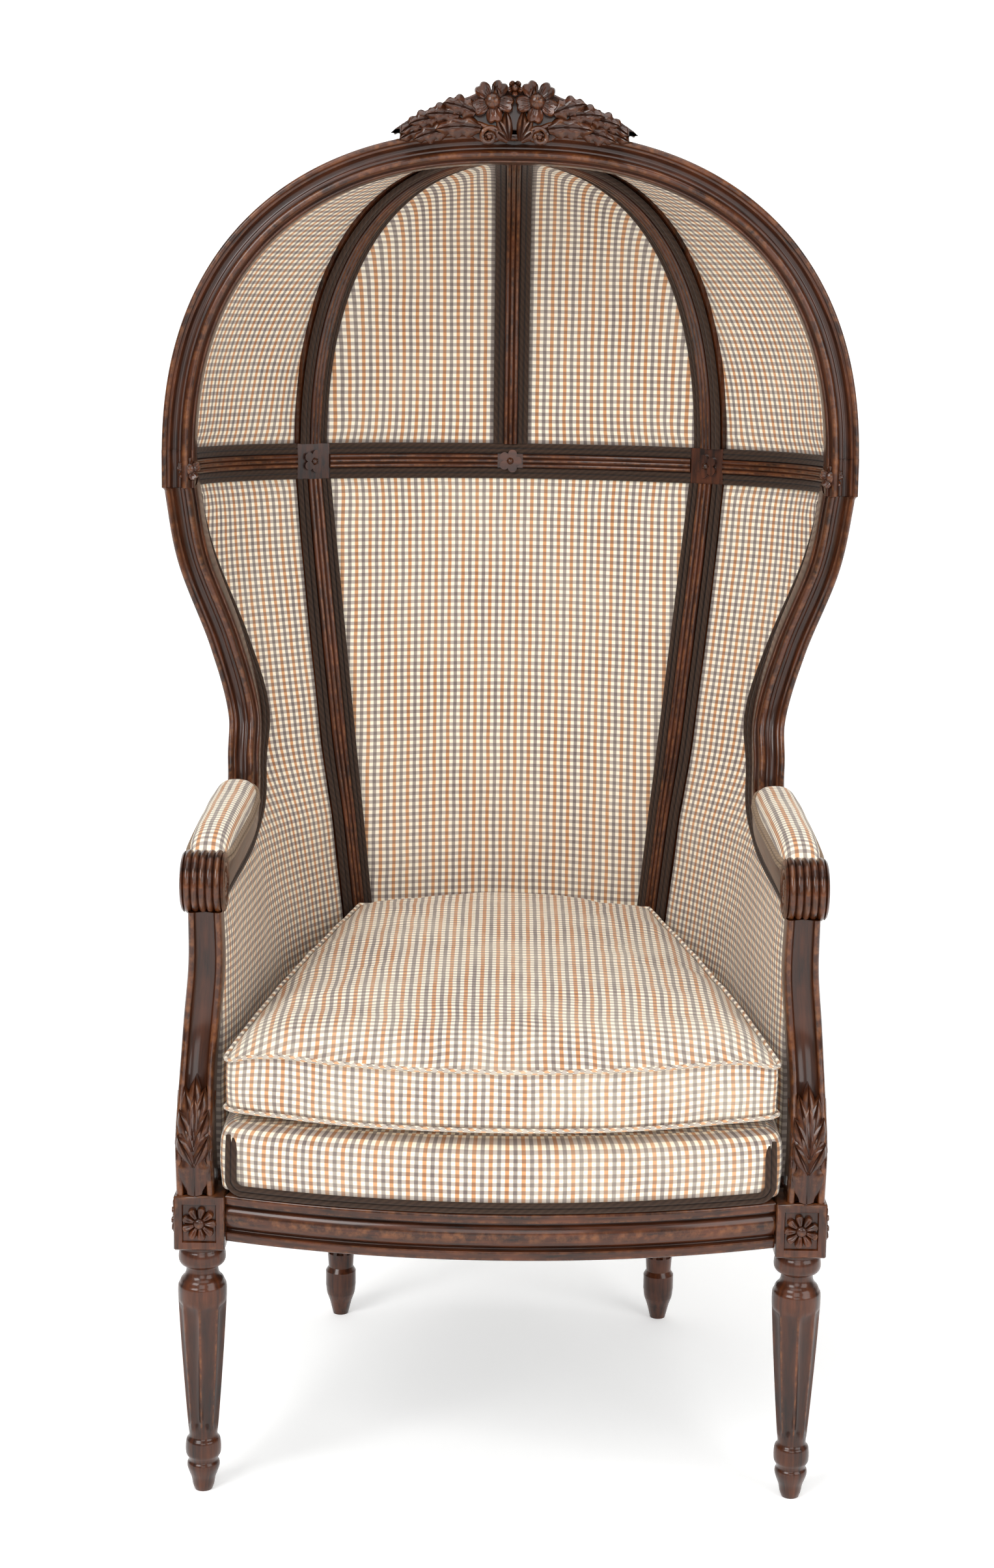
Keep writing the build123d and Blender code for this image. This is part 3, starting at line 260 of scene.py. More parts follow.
def quarter(width, grow, turn):
    """A point of an upright quarter profile: reach and rise above the ring."""
    return (
        (width + grow) * max(cos(turn), 0) ** (2 / dome_bulge),
        (dome_rise + grow) * max(sin(turn), 0) ** (2 / dome_bulge),
    )


def hood_place(height, turn, grow):
    """A point of the hood's plan at a height."""
    wide = profile_width(height, grow)
    return (
        (ring_half_width + grow) * wide * cos(turn),
        ring_axis_y + (ring_half_depth + grow) * wide * sin(turn),
    )


def rib_side_turn(height, grow, direction, offset):
    """Turn on the hood's plan where a rib's side cuts it."""
    wide = max(profile_width(height, grow), 0.001)
    long_axis = (ring_half_width + grow) * wide * sin(direction)
    short_axis = (ring_half_depth + grow) * wide * cos(direction)
    reach = hypot(long_axis, short_axis)
    return atan2(long_axis, short_axis) + asin(max(-1, min(1, offset / reach)))


def arch_side_turn(height, grow, offset):
    """Turn on the hood's plan at an offset behind the arch's middle."""
    depth = max((ring_half_depth + grow) * profile_width(height, grow), 0.001)
    return asin(min(1, offset / depth))


stile_top = wall_mid(ring_height, 2)
rib_turn = atan2(stile_top[1] - ring_axis_y, stile_top[0])
rib_reach = hypot(stile_top[0], stile_top[1] - ring_axis_y)
arch_back = ring_axis_y + arch_depth / 2


# Mesh tools


class Shape:
    """Gathers grids of points into one mesh, with a flat map and a raised mark for each point."""

    def __init__(self):
        self.verts, self.faces, self.maps, self.high = [], [], [], []

    def grid(self, rows, maps=None, closed=False, caps=False, high=None):
        """Add rows of points; closed joins the ends of each row, caps fill the first and last row."""
        start = len(self.verts)
        wide = len(rows[0])
        for row_index, row in enumerate(rows):
            for column, point in enumerate(row):
                self.verts.append(tuple(value * MM for value in point))
                self.high.append(high[row_index][column] if high else 0.0)
        count = wide if closed else wide - 1
        for row_index in range(len(rows) - 1):
            for column in range(count):
                after = (column + 1) % wide
                low = start + row_index * wide
                self.faces.append((low + column, low + after, low + wide + after, low + wide + column))
                if maps:
                    last = column + 1
                    near, far = maps[row_index], maps[row_index + 1]
                    self.maps.append([near[column], near[last], far[last], far[column]])
                else:
                    self.maps.append([(0, 0)] * 4)
        if caps:
            for row_index in (0, len(rows) - 1):
                ring = [start + row_index * wide + column for column in range(wide)]
                middle = sum((Vector(rows[row_index][c]) for c in range(wide)), Vector()) / wide
                self.verts.append(tuple(value * MM for value in middle))
                self.high.append(sum(high[row_index]) / wide if high else 0.0)
                heart = len(self.verts) - 1
                for column in range(wide):
                    self.faces.append((ring[column], ring[(column + 1) % wide], heart))
                    self.maps.append([(0, 0)] * 3)

    def shell(self, front, back, maps):
        """A closed sheet between a front and a back grid of the same size."""
        start = len(self.verts)
        rows, wide = len(front), len(front[0])
        for layer in (front, back):
            for row in layer:
                for point in row:
                    self.verts.append(tuple(value * MM for value in point))
                    self.high.append(0.0)
        size = rows * wide

        def spot(layer, row, column):
            return start + layer * size + row * wide + column

        for row in range(rows - 1):
            for column in range(wide - 1):
                corners = [(row, column), (row, column + 1), (row + 1, column + 1), (row + 1, column)]
                for layer in (0, 1):
                    face = [spot(layer, *corner) for corner in corners]
                    flat = [maps[corner[0]][corner[1]] for corner in corners]
                    self.faces.append(face if layer == 0 else face[::-1])
                    self.maps.append(flat if layer == 0 else flat[::-1])
        rim = [(0, column) for column in range(wide)]
        rim += [(row, wide - 1) for row in range(1, rows)]
        rim += [(rows - 1, column) for column in range(wide - 2, -1, -1)]
        rim += [(row, 0) for row in range(rows - 2, 0, -1)]
        for index, here in enumerate(rim):
            after = rim[(index + 1) % len(rim)]
            self.faces.append((spot(0, *here), spot(1, *here), spot(1, *after), spot(0, *after)))
            near, far = maps[here[0]][here[1]], maps[after[0]][after[1]]
            self.maps.append([near, near, far, far])

    def mirrored(self):
        """The same shape on the other side of the chair."""
        other = Shape()
        other.verts = [(-x, y, z) for x, y, z in self.verts]
        other.faces = [tuple(face[::-1]) for face in self.faces]
        other.maps = [flat[::-1] for flat in self.maps]
        other.high = list(self.high)
        return other

    def join(self, other):
        """Take in another shape."""
        start = len(self.verts)
        self.verts += other.verts
        self.faces += [tuple(start + index for index in face) for face in other.faces]
        self.maps += other.maps
        self.high += other.high
        return self


def layered(rows, far_mark=0.0):
    """A closed sheet from rows of (near place, far place, flat place, and in carving a mark)."""
    front, back, maps, *marks = ([[cell[part] for cell in row] for row in rows] for part in range(len(rows[0][0])))
    shape = Shape()
    shape.shell(front, back, maps)
    if marks:
        near = [max(-1, min(1, mark)) for row in marks[0] for mark in row]
        shape.high = near + [far_mark] * len(near)
    return shape


def piece(name, shape, material, slot, nodes=(), body="frame", sharp=40.0, merge=0.00002):
    """Turn a shape into a finished piece that rides on a body and stands for its nodes."""
    mesh = bpy.data.meshes.new(name)
    mesh.from_pydata(shape.verts, [], [tuple(face) for face in shape.faces])
    layer = mesh.uv_layers.new(name="UVMap")
    flat = [place for face in shape.maps for place in face]
    layer.data.foreach_set("uv", [value for place in flat for value in place])
    # The raised mark: the walnut finish paints a highlight (with wear) where it is high and paints shade (with dust)
    # where it is low.
    mark = mesh.attributes.new("high", "FLOAT", "POINT")
    mark.data.foreach_set("value", shape.high)
    tidy = bmesh.new()
    tidy.from_mesh(mesh)
    bmesh.ops.remove_doubles(tidy, verts=tidy.verts, dist=merge)
    bmesh.ops.dissolve_degenerate(tidy, edges=tidy.edges, dist=merge / 2)
    bmesh.ops.recalc_face_normals(tidy, faces=tidy.faces)
    tidy.to_mesh(mesh)
    tidy.free()
    mesh.materials.append(material)
    mesh.polygons.foreach_set("use_smooth", [True] * len(mesh.polygons))
    mesh.set_sharp_from_angle(angle=radians(sharp))
    thing = bpy.data.objects.new(name, mesh)
    bpy.context.collection.objects.link(thing)
    settle(thing, nodes, body)
    return thing


def settle(thing, nodes, body="frame"):
    """Put a finished piece on its body, in place of its solids."""
    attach(thing, body)
    if nodes:
        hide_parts(*nodes)


def run_lengths(points):
    """Distance along a row of points, from its first."""
    total, lengths = 0.0, [0.0]
    for index in range(1, len(points)):
        total += (Vector(points[index]) - Vector(points[index - 1])).length
        lengths.append(total)
    return lengths


def swept(place, steps, profile, marks):
    """Rows of a profile carried along: place(step, x, y) gives a point."""
    shape = Shape()
    rows = [[place(step, x, y) for x, y in profile] for step in steps]
    middle = [sum((Vector(p) for p in row), Vector()) / len(row) for row in rows]
    along = run_lengths(middle)
    around = run_lengths([(*profile[i % len(profile)], 0) for i in range(len(profile) + 1)])
    maps = [[(around[c] * MM, along[r] * MM) for c in range(len(profile) + 1)] for r in range(len(rows))]
    shape.grid(rows, maps, closed=True, caps=True, high=[marks] * len(rows))
    return shape


# Materials


def paint(red, green, blue):
    """A colour from its screen values, in linear light."""

    def opened(value):
        value /= 255
        return value / 12.92 if value <= 0.04045 else ((value + 0.055) / 1.055) ** 2.4

    return (opened(red), opened(green), opened(blue), 1.0)


class Recipe:
    """Adds nodes to a node tree and joins them."""

    def __init__(self, tree):
        self.tree = tree

    def add(self, kind, values=None, **settings):
        node = self.tree.nodes.new(kind)
        for name, value in settings.items():
            setattr(node, name, value)
        for key, value in (values or {}).items():
            if isinstance(value, bpy.types.NodeSocket):
                self.tree.links.new(value, node.inputs[key])
            else:
                node.inputs[key].default_value = value
        return node

    def maths(self, operation, first, second=0.5, third=0.5):
        return self.add("ShaderNodeMath", {0: first, 1: second, 2: third}, operation=operation).outputs[0]

    def turns(self, value, size):
        """A length as an angle that goes round once in each size."""
        return self.maths("DIVIDE", self.maths("MULTIPLY", value, 2 * pi), size)

    def weave(self, vector, size):
        """The rise and fall of threads that cross."""
        split = self.add("ShaderNodeSeparateXYZ", {0: vector})
        waves = [self.maths("SINE", self.turns(split.outputs[axis], size)) for axis in (0, 1)]
        return self.maths("MULTIPLY", *waves)

    def vector(self, operation, first, second):
        return self.add("ShaderNodeVectorMath", {0: first, 1: second}, operation=operation).outputs[0]

    def mix(self, factor, first, second, kind="MIX"):
        node = self.add("ShaderNodeMix", {0: factor, 6: first, 7: second}, data_type="RGBA", blend_type=kind)
        return node.outputs[2]

    def span(self, value, low, high, out_low=0.0, out_high=1.0):
        values = {0: value, 1: low, 2: high, 3: out_low, 4: out_high}
        return self.add("ShaderNodeMapRange", values, clamp=True).outputs[0]

    def noise(self, vector, scale, detail=3.0, rough=0.55):
        values = {"Vector": vector, "Scale": scale, "Detail": detail, "Roughness": rough}
        return self.add("ShaderNodeTexNoise", values).outputs["Fac"]

    def stretched(self, vector, scale):
        return self.vector("MULTIPLY", vector, scale)

    def send(self, drain, colour, rough, height):
        """Join the results of a finish to the group's outputs."""
        for name, value in (("Color", colour), ("Roughness", rough), ("Height", height)):
            self.tree.links.new(value, drain[name])
        return self.tree


def shader_group(name, inputs):
    """An empty shader node group with named inputs, for a colour, a roughness and a height."""
    tree = bpy.data.node_groups.new(name, "ShaderNodeTree")
    kinds = {"value": "NodeSocketFloat", "colour": "NodeSocketColor", "vector": "NodeSocketVector"}
    for label, kind, default in inputs:
        socket = tree.interface.new_socket(name=label, in_out="INPUT", socket_type=kinds[kind])
        if default is not None:
            socket.default_value = default
    for label, kind in (("Color", "colour"), ("Roughness", "value"), ("Height", "value")):
        tree.interface.new_socket(name=label, in_out="OUTPUT", socket_type=kinds[kind])
    recipe = Recipe(tree)
    source = tree.nodes.new("NodeGroupInput").outputs
    drain = tree.nodes.new("NodeGroupOutput").inputs
    return recipe, source, drain


def make_wood_group():
    """Old polished walnut: streaked figure, hollows darkened for dust and painted shade, raised edges lightened for
    wear and a painted highlight.
    """
    recipe, source, drain = shader_group(
        "Walnut figure",
        [
            ("Vector", "vector", None),
            ("Raised", "value", 0.0),
            ("Dark", "colour", paint(30, 17, 11)),
            ("Middle", "colour", paint(74, 41, 24)),
            ("Light", "colour", paint(142, 92, 58)),
            ("Wear and highlight", "value", 0.5),
        ],
    )
    streak_place = recipe.stretched(source["Vector"], (1.0, 0.09, 1.0))
    streak = recipe.noise(streak_place, 190.0, 5.0, 0.6)
    pore = recipe.noise(recipe.stretched(source["Vector"], (1.0, 0.05, 1.0)), 1100.0, 2.0, 0.5)
    cloud = recipe.noise(source["Vector"], 14.0, 3.0, 0.55)
    rub = recipe.noise(source["Vector"], 75.0, 4.0, 0.6)
    figure = recipe.maths("MULTIPLY_ADD", streak, 0.62, recipe.maths("MULTIPLY", cloud, 0.5))
    colour = recipe.mix(recipe.span(figure, 0.42, 0.70), source["Dark"], source["Middle"])
    # Painted highlight with wear: raised parts are lightened towards the Light colour, in patches of rub noise.
    edge = recipe.span(source["Raised"], 0.35, 1.0)
    worn = recipe.span(rub, 0.44, 0.68)
    light = recipe.maths("MULTIPLY", recipe.maths("MULTIPLY", edge, worn), source["Wear and highlight"])
    colour = recipe.mix(light, colour, source["Light"])
    # Painted shade with dust: hollows (negative raised mark) are darkened towards a dark brown, as ambient occlusion
    # would darken them.
    hollow = recipe.span(source["Raised"], 0.0, -1.0, 0.0, 0.6)
    colour = recipe.mix(hollow, colour, paint(36, 17, 9))
    rough = recipe.maths("MULTIPLY_ADD", streak, 0.20, 0.22)
    rough = recipe.maths("ADD", rough, recipe.maths("MULTIPLY", hollow, 0.10))
    height = recipe.maths("MULTIPLY_ADD", pore, 0.5, recipe.maths("MULTIPLY", streak, 0.7))
    return recipe.send(drain, colour, rough, height)


def make_check_group():
    """Checked cotton: a warp of two colours in turn, a weft of one, on an undyed ground."""
    recipe, source, drain = shader_group(
        "Checked cotton",
        [
            ("Vector", "vector", None),
            ("Pitch", "value", 0.0092),
            ("Ground", "colour", paint(252, 246, 232)),
            ("First warp", "colour", paint(236, 176, 124)),
            ("Second warp", "colour", paint(206, 192, 180)),
            ("Weft", "colour", paint(214, 210, 212)),
            ("Thread", "value", 0.0009),
            ("Fade", "value", 0.2),
            ("Dirt", "value", 0.15),
        ],
    )
    drift = recipe.add(
        "ShaderNodeTexNoise", {"Vector": source["Vector"], "Scale": 22.0, "Detail": 2.0}
    ).outputs["Color"]
    drift = recipe.stretched(recipe.vector("SUBTRACT", drift, (0.5, 0.5, 0.5)), (0.0016, 0.0016, 0.0))
    place = recipe.vector("ADD", source["Vector"], drift)
    split = recipe.add("ShaderNodeSeparateXYZ", {0: place})
    across = recipe.maths("DIVIDE", split.outputs[0], source["Pitch"])
    along = recipe.maths("DIVIDE", split.outputs[1], source["Pitch"])
    warp = recipe.span(recipe.maths("SINE", recipe.maths("MULTIPLY", across, 2 * pi)), -0.25, 0.25)
    weft = recipe.span(recipe.maths("SINE", recipe.maths("MULTIPLY", along, 2 * pi)), -0.25, 0.25)
    turn = recipe.maths("MULTIPLY_ADD", across, pi, -pi / 4)
    second = recipe.span(recipe.maths("COSINE", turn), -0.1, 0.1)
    warp_colour = recipe.mix(second, source["First warp"], source["Second warp"])
    weave = recipe.weave(place, source["Thread"])
    warp_part = recipe.maths("MULTIPLY", warp, recipe.maths("MULTIPLY_ADD", weave, 0.12, 0.88))
    weft_part = recipe.maths("MULTIPLY", weft, recipe.maths("MULTIPLY_ADD", weave, -0.12, 0.88))
    white = (1.0, 1.0, 1.0, 1.0)
    warp_tint = recipe.mix(warp_part, white, warp_colour)
    weft_tint = recipe.mix(weft_part, white, source["Weft"])
    tint = recipe.mix(1.0, warp_tint, weft_tint, "MULTIPLY")
    cloud = recipe.span(recipe.noise(source["Vector"], 9.0, 4.0, 0.6), 0.38, 0.66)
    tint = recipe.mix(recipe.maths("MULTIPLY", cloud, source["Fade"]), tint, white)
    colour = recipe.mix(1.0, source["Ground"], tint, "MULTIPLY")
    stain = recipe.span(recipe.noise(source["Vector"], 5.0, 5.0, 0.65), 0.48, 0.72)
    colour = recipe.mix(recipe.maths("MULTIPLY", stain, source["Dirt"]), colour, paint(205, 186, 160))
    slub = recipe.noise(recipe.stretched(source["Vector"], (1.0, 0.15, 1.0)), 1500.0, 2.0, 0.5)
    height = recipe.maths("MULTIPLY_ADD", weave, 0.35, slub)
    return recipe.send(drain, colour, recipe.maths("MULTIPLY_ADD", slub, 0.1, 0.8), height)


def make_cord_group():
    """Cord of twisted threads; the twist is told by the attribute that the cord's mesh carries."""
    recipe, source, drain = shader_group(
        "Twisted cord",
        [
            ("Twist", "vector", None),
            ("Dark", "colour", paint(42, 33, 27)),
            ("Light", "colour", paint(128, 108, 88)),
            ("Strands", "value", 3.0),
            ("Lay", "value", 0.011),
        ],
    )
    split = recipe.add("ShaderNodeSeparateXYZ", {0: source["Twist"]})
    turn = recipe.maths("ARCTAN2", split.outputs[1], split.outputs[0])
    run = recipe.turns(split.outputs[2], source["Lay"])
    wave = recipe.maths("SINE", recipe.maths("MULTIPLY_ADD", turn, source["Strands"], run))
    fibre = recipe.noise(source["Twist"], 7.0, 4.0, 0.7)
    patch = recipe.noise(source["Twist"], 0.9, 3.0, 0.6)
    rough = recipe.maths("MULTIPLY_ADD", fibre, 0.5, recipe.maths("MULTIPLY", patch, 0.4))
    mark = recipe.maths("MULTIPLY_ADD", wave, 0.08, rough)
    colour = recipe.mix(recipe.span(mark, 0.25, 0.78), source["Dark"], source["Light"])
    return recipe.send(drain, colour, recipe.maths("MULTIPLY_ADD", fibre, 0.1, 0.78), wave)


def make_plain_group():
    """Plain woven cloth of two close colours."""
    recipe, source, drain = shader_group(
        "Plain cloth",
        [
            ("Vector", "vector", None),
            ("Thread", "value", 0.0012),
            ("Dark", "colour", paint(120, 110, 100)),
            ("Light", "colour", paint(160, 150, 138)),
        ],
    )
    weave = recipe.weave(source["Vector"], source["Thread"])
    slub = recipe.noise(recipe.stretched(source["Vector"], (1.0, 0.12, 1.0)), 900.0, 3.0, 0.6)
    cloud = recipe.noise(source["Vector"], 11.0, 4.0, 0.6)
    uneven = recipe.maths("MULTIPLY_ADD", slub, 0.5, recipe.maths("MULTIPLY", cloud, 0.5))
    mark = recipe.maths("MULTIPLY_ADD", weave, 0.12, uneven)
    colour = recipe.mix(recipe.span(mark, 0.3, 0.72), source["Dark"], source["Light"])
    rough = recipe.maths("MULTIPLY_ADD", slub, 0.1, 0.8)
    return recipe.send(drain, colour, rough, recipe.maths("MULTIPLY_ADD", weave, 0.4, slub))


groups = {}
finishes = {}


def on_bias(recipe, twist):
    """A cord's twist laid out flat and turned to the bias of the cloth."""
    split = recipe.add("ShaderNodeSeparateXYZ", {0: twist})
    turn = recipe.maths("MULTIPLY", recipe.maths("ARCTAN2", split.outputs[1], split.outputs[0]), 0.0025)
    flat = recipe.add("ShaderNodeCombineXYZ", {0: turn, 1: split.outputs[2]})
    return recipe.add("ShaderNodeMapping", {"Vector": flat.outputs[0], "Rotation": (0, 0, pi / 4)}).outputs[0]


def finish_material(
    name, group, values, place, bump=0.3, depth=0.0004, coat=0.0, sheen=0.0, raised=False, turned=None, gleam=0.5
):
    """A material that feeds one surface shader from one effect group."""
    material = bpy.data.materials.new(name)
    material.use_nodes = True
    tree = material.node_tree
    tree.nodes.clear()
    recipe = Recipe(tree)
    effect = tree.nodes.new("ShaderNodeGroup")
    effect.node_tree = group
    for label, value in values.items():
        effect.inputs[label].default_value = value
    if place in ("twist", "bias"):
        spot = recipe.add("ShaderNodeAttribute", attribute_name="twist").outputs["Vector"]
    else:
        spot = recipe.add("ShaderNodeTexCoord").outputs[place]
    if place == "bias":
        spot = on_bias(recipe, spot)
    if turned:
        spot = recipe.add("ShaderNodeMapping", {"Vector": spot, "Rotation": turned}).outputs[0]
    tree.links.new(spot, effect.inputs["Twist" if place == "twist" else "Vector"])
    if raised:
        mark = recipe.add("ShaderNodeAttribute", attribute_name="high").outputs["Fac"]
        tree.links.new(mark, effect.inputs["Raised"])
    rise = recipe.add("ShaderNodeBump", {"Strength": bump, "Distance": depth, "Height": effect.outputs["Height"]})
    surface = recipe.add(
        "ShaderNodeBsdfPrincipled",
        {
            "Base Color": effect.outputs["Color"],
            "Roughness": effect.outputs["Roughness"],
            "Normal": rise.outputs[0],
            "Coat Weight": coat,
            "Coat Roughness": 0.13,
            "Sheen Weight": sheen,
            "Sheen Roughness": 0.5,
            "Specular IOR Level": 0.25 if sheen else gleam,
        },
    )
    recipe.add("ShaderNodeOutputMaterial", {"Surface": surface.outputs[0]})
    return material


def dress(names, material):
    """Give CAD nodes a finish."""
    for name in names:
        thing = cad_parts[name]
        for place in thing.material_slots:
            place.material = material
        if not thing.material_slots:
            raise RuntimeError(f"{name} has no material slot")


def both(name):
    """The names of a pair of nodes, right then left."""
    return [f"{side}_{name}" for side in ("right", "left")]


def pair(name, shape, material, slot, nodes, **options):
    """The same piece on both sides of the chair, standing for nodes of both sides."""
    made = []
    for side, form in (("right", shape), ("left", shape.mirrored())):
        made.append(piece(f"{side}_{name}", form, material, slot, [f"{side}_{node}" for node in nodes], **options))
    return made


# Cords


def make_cord_tree():
    """Geometry Nodes: turns a line into a round cord that carries its twist."""
    tree = bpy.data.node_groups.new("Round cord", "GeometryNodeTree")
    for label, kind, default in (
        ("Line", "Geometry", None),
        ("Cord radius", "Float", 0.0034),
        ("Sides", "Int", 8),
        ("Finish", "Material", None),
    ):
        socket = tree.interface.new_socket(name=label, in_out="INPUT", socket_type=f"NodeSocket{kind}")
        if default is not None:
            socket.default_value = default
    tree.interface.new_socket(name="Cord", in_out="OUTPUT", socket_type="NodeSocketGeometry")
    recipe = Recipe(tree)
    source = tree.nodes.new("NodeGroupInput").outputs
    drain = tree.nodes.new("NodeGroupOutput").inputs

    def stored(geometry, name, value, kind):
        values = {"Geometry": geometry, "Name": name, "Value": value}
        return recipe.add("GeometryNodeStoreNamedAttribute", values, data_type=kind, domain="POINT").outputs[0]

    along = recipe.add("GeometryNodeSplineParameter").outputs["Length"]
    line = stored(source["Line"], "cord_run", along, "FLOAT")
    size = {"Resolution": source["Sides"], "Radius": source["Cord radius"]}
    ring = recipe.add("GeometryNodeCurvePrimitiveCircle", size).outputs["Curve"]
    ring = stored(ring, "ring_place", recipe.add("GeometryNodeInputPosition").outputs[0], "FLOAT_VECTOR")
    tube_mesh = recipe.add("GeometryNodeCurveToMesh", {"Curve": line, "Profile Curve": ring, "Fill Caps": True})
    place = recipe.add("GeometryNodeInputNamedAttribute", {"Name": "ring_place"}, data_type="FLOAT_VECTOR")
    run = recipe.add("GeometryNodeInputNamedAttribute", {"Name": "cord_run"}, data_type="FLOAT")
    split = recipe.add("ShaderNodeSeparateXYZ", {0: place.outputs["Attribute"]})
    joined = recipe.add(
        "ShaderNodeCombineXYZ", {0: split.outputs[0], 1: split.outputs[1], 2: run.outputs["Attribute"]}
    )
    scaled = recipe.stretched(joined.outputs[0], (300.0, 300.0, 1.0))
    cord = stored(tube_mesh.outputs[0], "twist", scaled, "FLOAT_VECTOR")
    real = recipe.add("GeometryNodeRealizeInstances", {"Geometry": cord})
    done = recipe.add("GeometryNodeSetMaterial", {"Geometry": real.outputs[0], "Material": source["Finish"]})
    tree.links.new(done.outputs[0], drain["Cord"])
    return tree


def cord_piece(name, lines, material, nodes=(), body="frame", radius=3.4, sides=8):
    """Round cords along lines of points, as one piece."""
    curve = bpy.data.curves.new(name, "CURVE")
    curve.dimensions = "3D"
    for line in lines:
        spline = curve.splines.new("POLY")
        closed = (Vector(line[0]) - Vector(line[-1])).length < 0.01
        places = line[:-1] if closed else line
        spline.points.add(len(places) - 1)
        for point, place in zip(spline.points, places):
            point.co = (place[0] * MM, place[1] * MM, place[2] * MM, 1)
        spline.use_cyclic_u = closed
    holder = bpy.data.objects.new(name + "_line", curve)
    bpy.context.collection.objects.link(holder)
    modifier = holder.modifiers.new("Round cord", "NODES")
    modifier.node_group = groups["cord_tree"]
    items = groups["cord_tree"].interface.items_tree
    sockets = {item.name: item.identifier for item in items if item.in_out == "INPUT"}
    modifier[sockets["Cord radius"]] = radius * MM
    modifier[sockets["Sides"]] = sides
    modifier[sockets["Finish"]] = material
    bpy.context.view_layer.update()
    ready = holder.evaluated_get(bpy.context.evaluated_depsgraph_get())
    mesh = bpy.data.meshes.new_from_object(ready)
    mesh.name = name
    mesh.polygons.foreach_set("use_smooth", [True] * len(mesh.polygons))
    mesh.set_sharp_from_angle(angle=radians(60))
    bpy.data.objects.remove(holder)
    thing = bpy.data.objects.new(name, mesh)
    bpy.context.collection.objects.link(thing)
    settle(thing, nodes, body)
    return thing


def flipped(lines):
    """Lines on the other side of the chair."""
    return [[(-x, y, z) for x, y, z in (tuple(place) for place in line)] for line in lines]


def cord_pair(name, lines, material, nodes=(), radius=3.4):
    """The same cords on both sides of the chair."""
    for side, form in (("right", lines), ("left", flipped(lines))):
        cord_piece(f"{side}_{name}", form, material, [f"{side}_{node}" for node in nodes], radius=radius)


# The moulded frame


def fluent(points, parts):
    """More points on a smooth curve through those given."""
    fine = []
    for index in range(len(points) - 1):
        near, far = points[index], points[index + 1]
        before = points[index - 1] if index else near
        after = points[index + 2] if index + 2 < len(points) else far
        for count in range(parts):
            part = count / parts
            fine.append(
                tuple(
                    0.5
                    * (
                        2 * b
                        + (c - a) * part
                        + (2 * a - 5 * b + 4 * c - d) * part**2
                        + (3 * b - a - 3 * c + d) * part**3
                    )
                    for a, b, c, d in zip(before, near, far, after)
                )
            )
    return fine + [tuple(points[-1])]


# Place across, depth and how far it stands out: hollow, bead, channel and outer band, from the panel's side out
frame_face = [
    (-20.0, 5.0, -0.6),
    (-19.2, 8.0, 0.2),
    (-17.2, 9.4, 0.7),
    (-15.4, 8.6, -0.6),
    (-14.4, 11.0, -0.4),
    (-12.6, 14.6, 0.6),
    (-9.6, 16.4, 1.0),
    (-6.4, 15.4, 0.8),
    (-4.2, 12.4, -0.2),
    (-3.2, 9.6, -0.9),
    (-1.0, 9.6, -0.2),
    (1.6, 8.0, -0.8),
    (4.6, 8.0, -0.9),
    (7.4, 9.8, -0.6),
    (9.2, 12.8, 0.1),
    (10.4, 14.0, 0.7),
    (12.2, 14.6, 0.2),
    (14.2, 17.0, 0.8),
    (17.0, 17.8, 1.0),
    (19.2, 15.8, 0.8),
    (20.0, 12.0, 0.2),
]
frame_back = frame_half * 0.9
frame_ring = fluent(frame_face, 3) + [(20.0, -frame_back, 0.0), (-20.0, -frame_back, 0.0)]


def carried(frames, ring):
    """A ring of (across, depth, mark) places swept through a run of (place, across, face) frames."""
    marks = [mark for _, _, mark in ring]
    return swept(
        lambda step, x, y: frames[step][0] + frames[step][1] * x + frames[step][2] * y,
        range(len(frames)),
        [(x, y) for x, y, _ in ring],
        marks,
    )


def frame_run(start, end, count):
    """Frames along the arm and the wing between two stations."""
    return [frame_axes(start + (end - start) * index / (count - 1)) for index in range(count)]


def wing_frames():
    """Frames of the wing, up to the underside of its block."""
    frames = frame_run(4.0, 9.72, 64)
    top = Vector((ring_half_width, ring_axis_y, ring_low + 0.5))
    frames.append((top, Vector((1, 0, 0)), Vector((0, -1, 0))))
    return frames


def arch_frames(low_turn, high_turn, count):
    """Frames of the hood arch, across pointing away from its middle."""
    frames = []
    places = []
    for index in range(count):
        turn = low_turn + (high_turn - low_turn) * index / (count - 1)
        reach, rise = quarter(ring_half_width, 0.0, turn)
        places.append(Vector((reach, ring_axis_y, ring_height + rise)))
    for index, here in enumerate(places):
        if index == count - 1:
            along = Vector((-1, 0, 0))
        elif index == 0:
            along = Vector((0, 0, 1))
        else:
            along = (places[index + 1] - places[index - 1]).normalized()
        across = along.cross(Vector((0, -1, 0)))
        if across.dot(Vector((here.x, 0, here.z - ring_height))) < 0:
            across = -across
        frames.append((here, across, Vector((0, -1, 0))))
    return frames


def turned(profile, heart, axis, side, count):
    """A shape turned round an axis: profile holds (place along, radius, mark)."""
    third = axis.cross(side)
    shape = Shape()
    rows, marks = [], []
    for place, radius, mark in profile:
        row = []
        for step in range(count):
            turn = 2 * pi * step / count
            row.append(heart + axis * place + side * (cos(turn) * radius) + third * (sin(turn) * radius))
        rows.append(row)
        marks.append([mark] * count)
    along = run_lengths([(place, radius, 0) for place, radius, _ in profile])
    maps = [[(2 * pi * 20 * step / count * MM, run * MM) for step in range(count + 1)] for run in along]
    shape.grid(rows, maps, closed=True, caps=True, high=marks)
    return shape


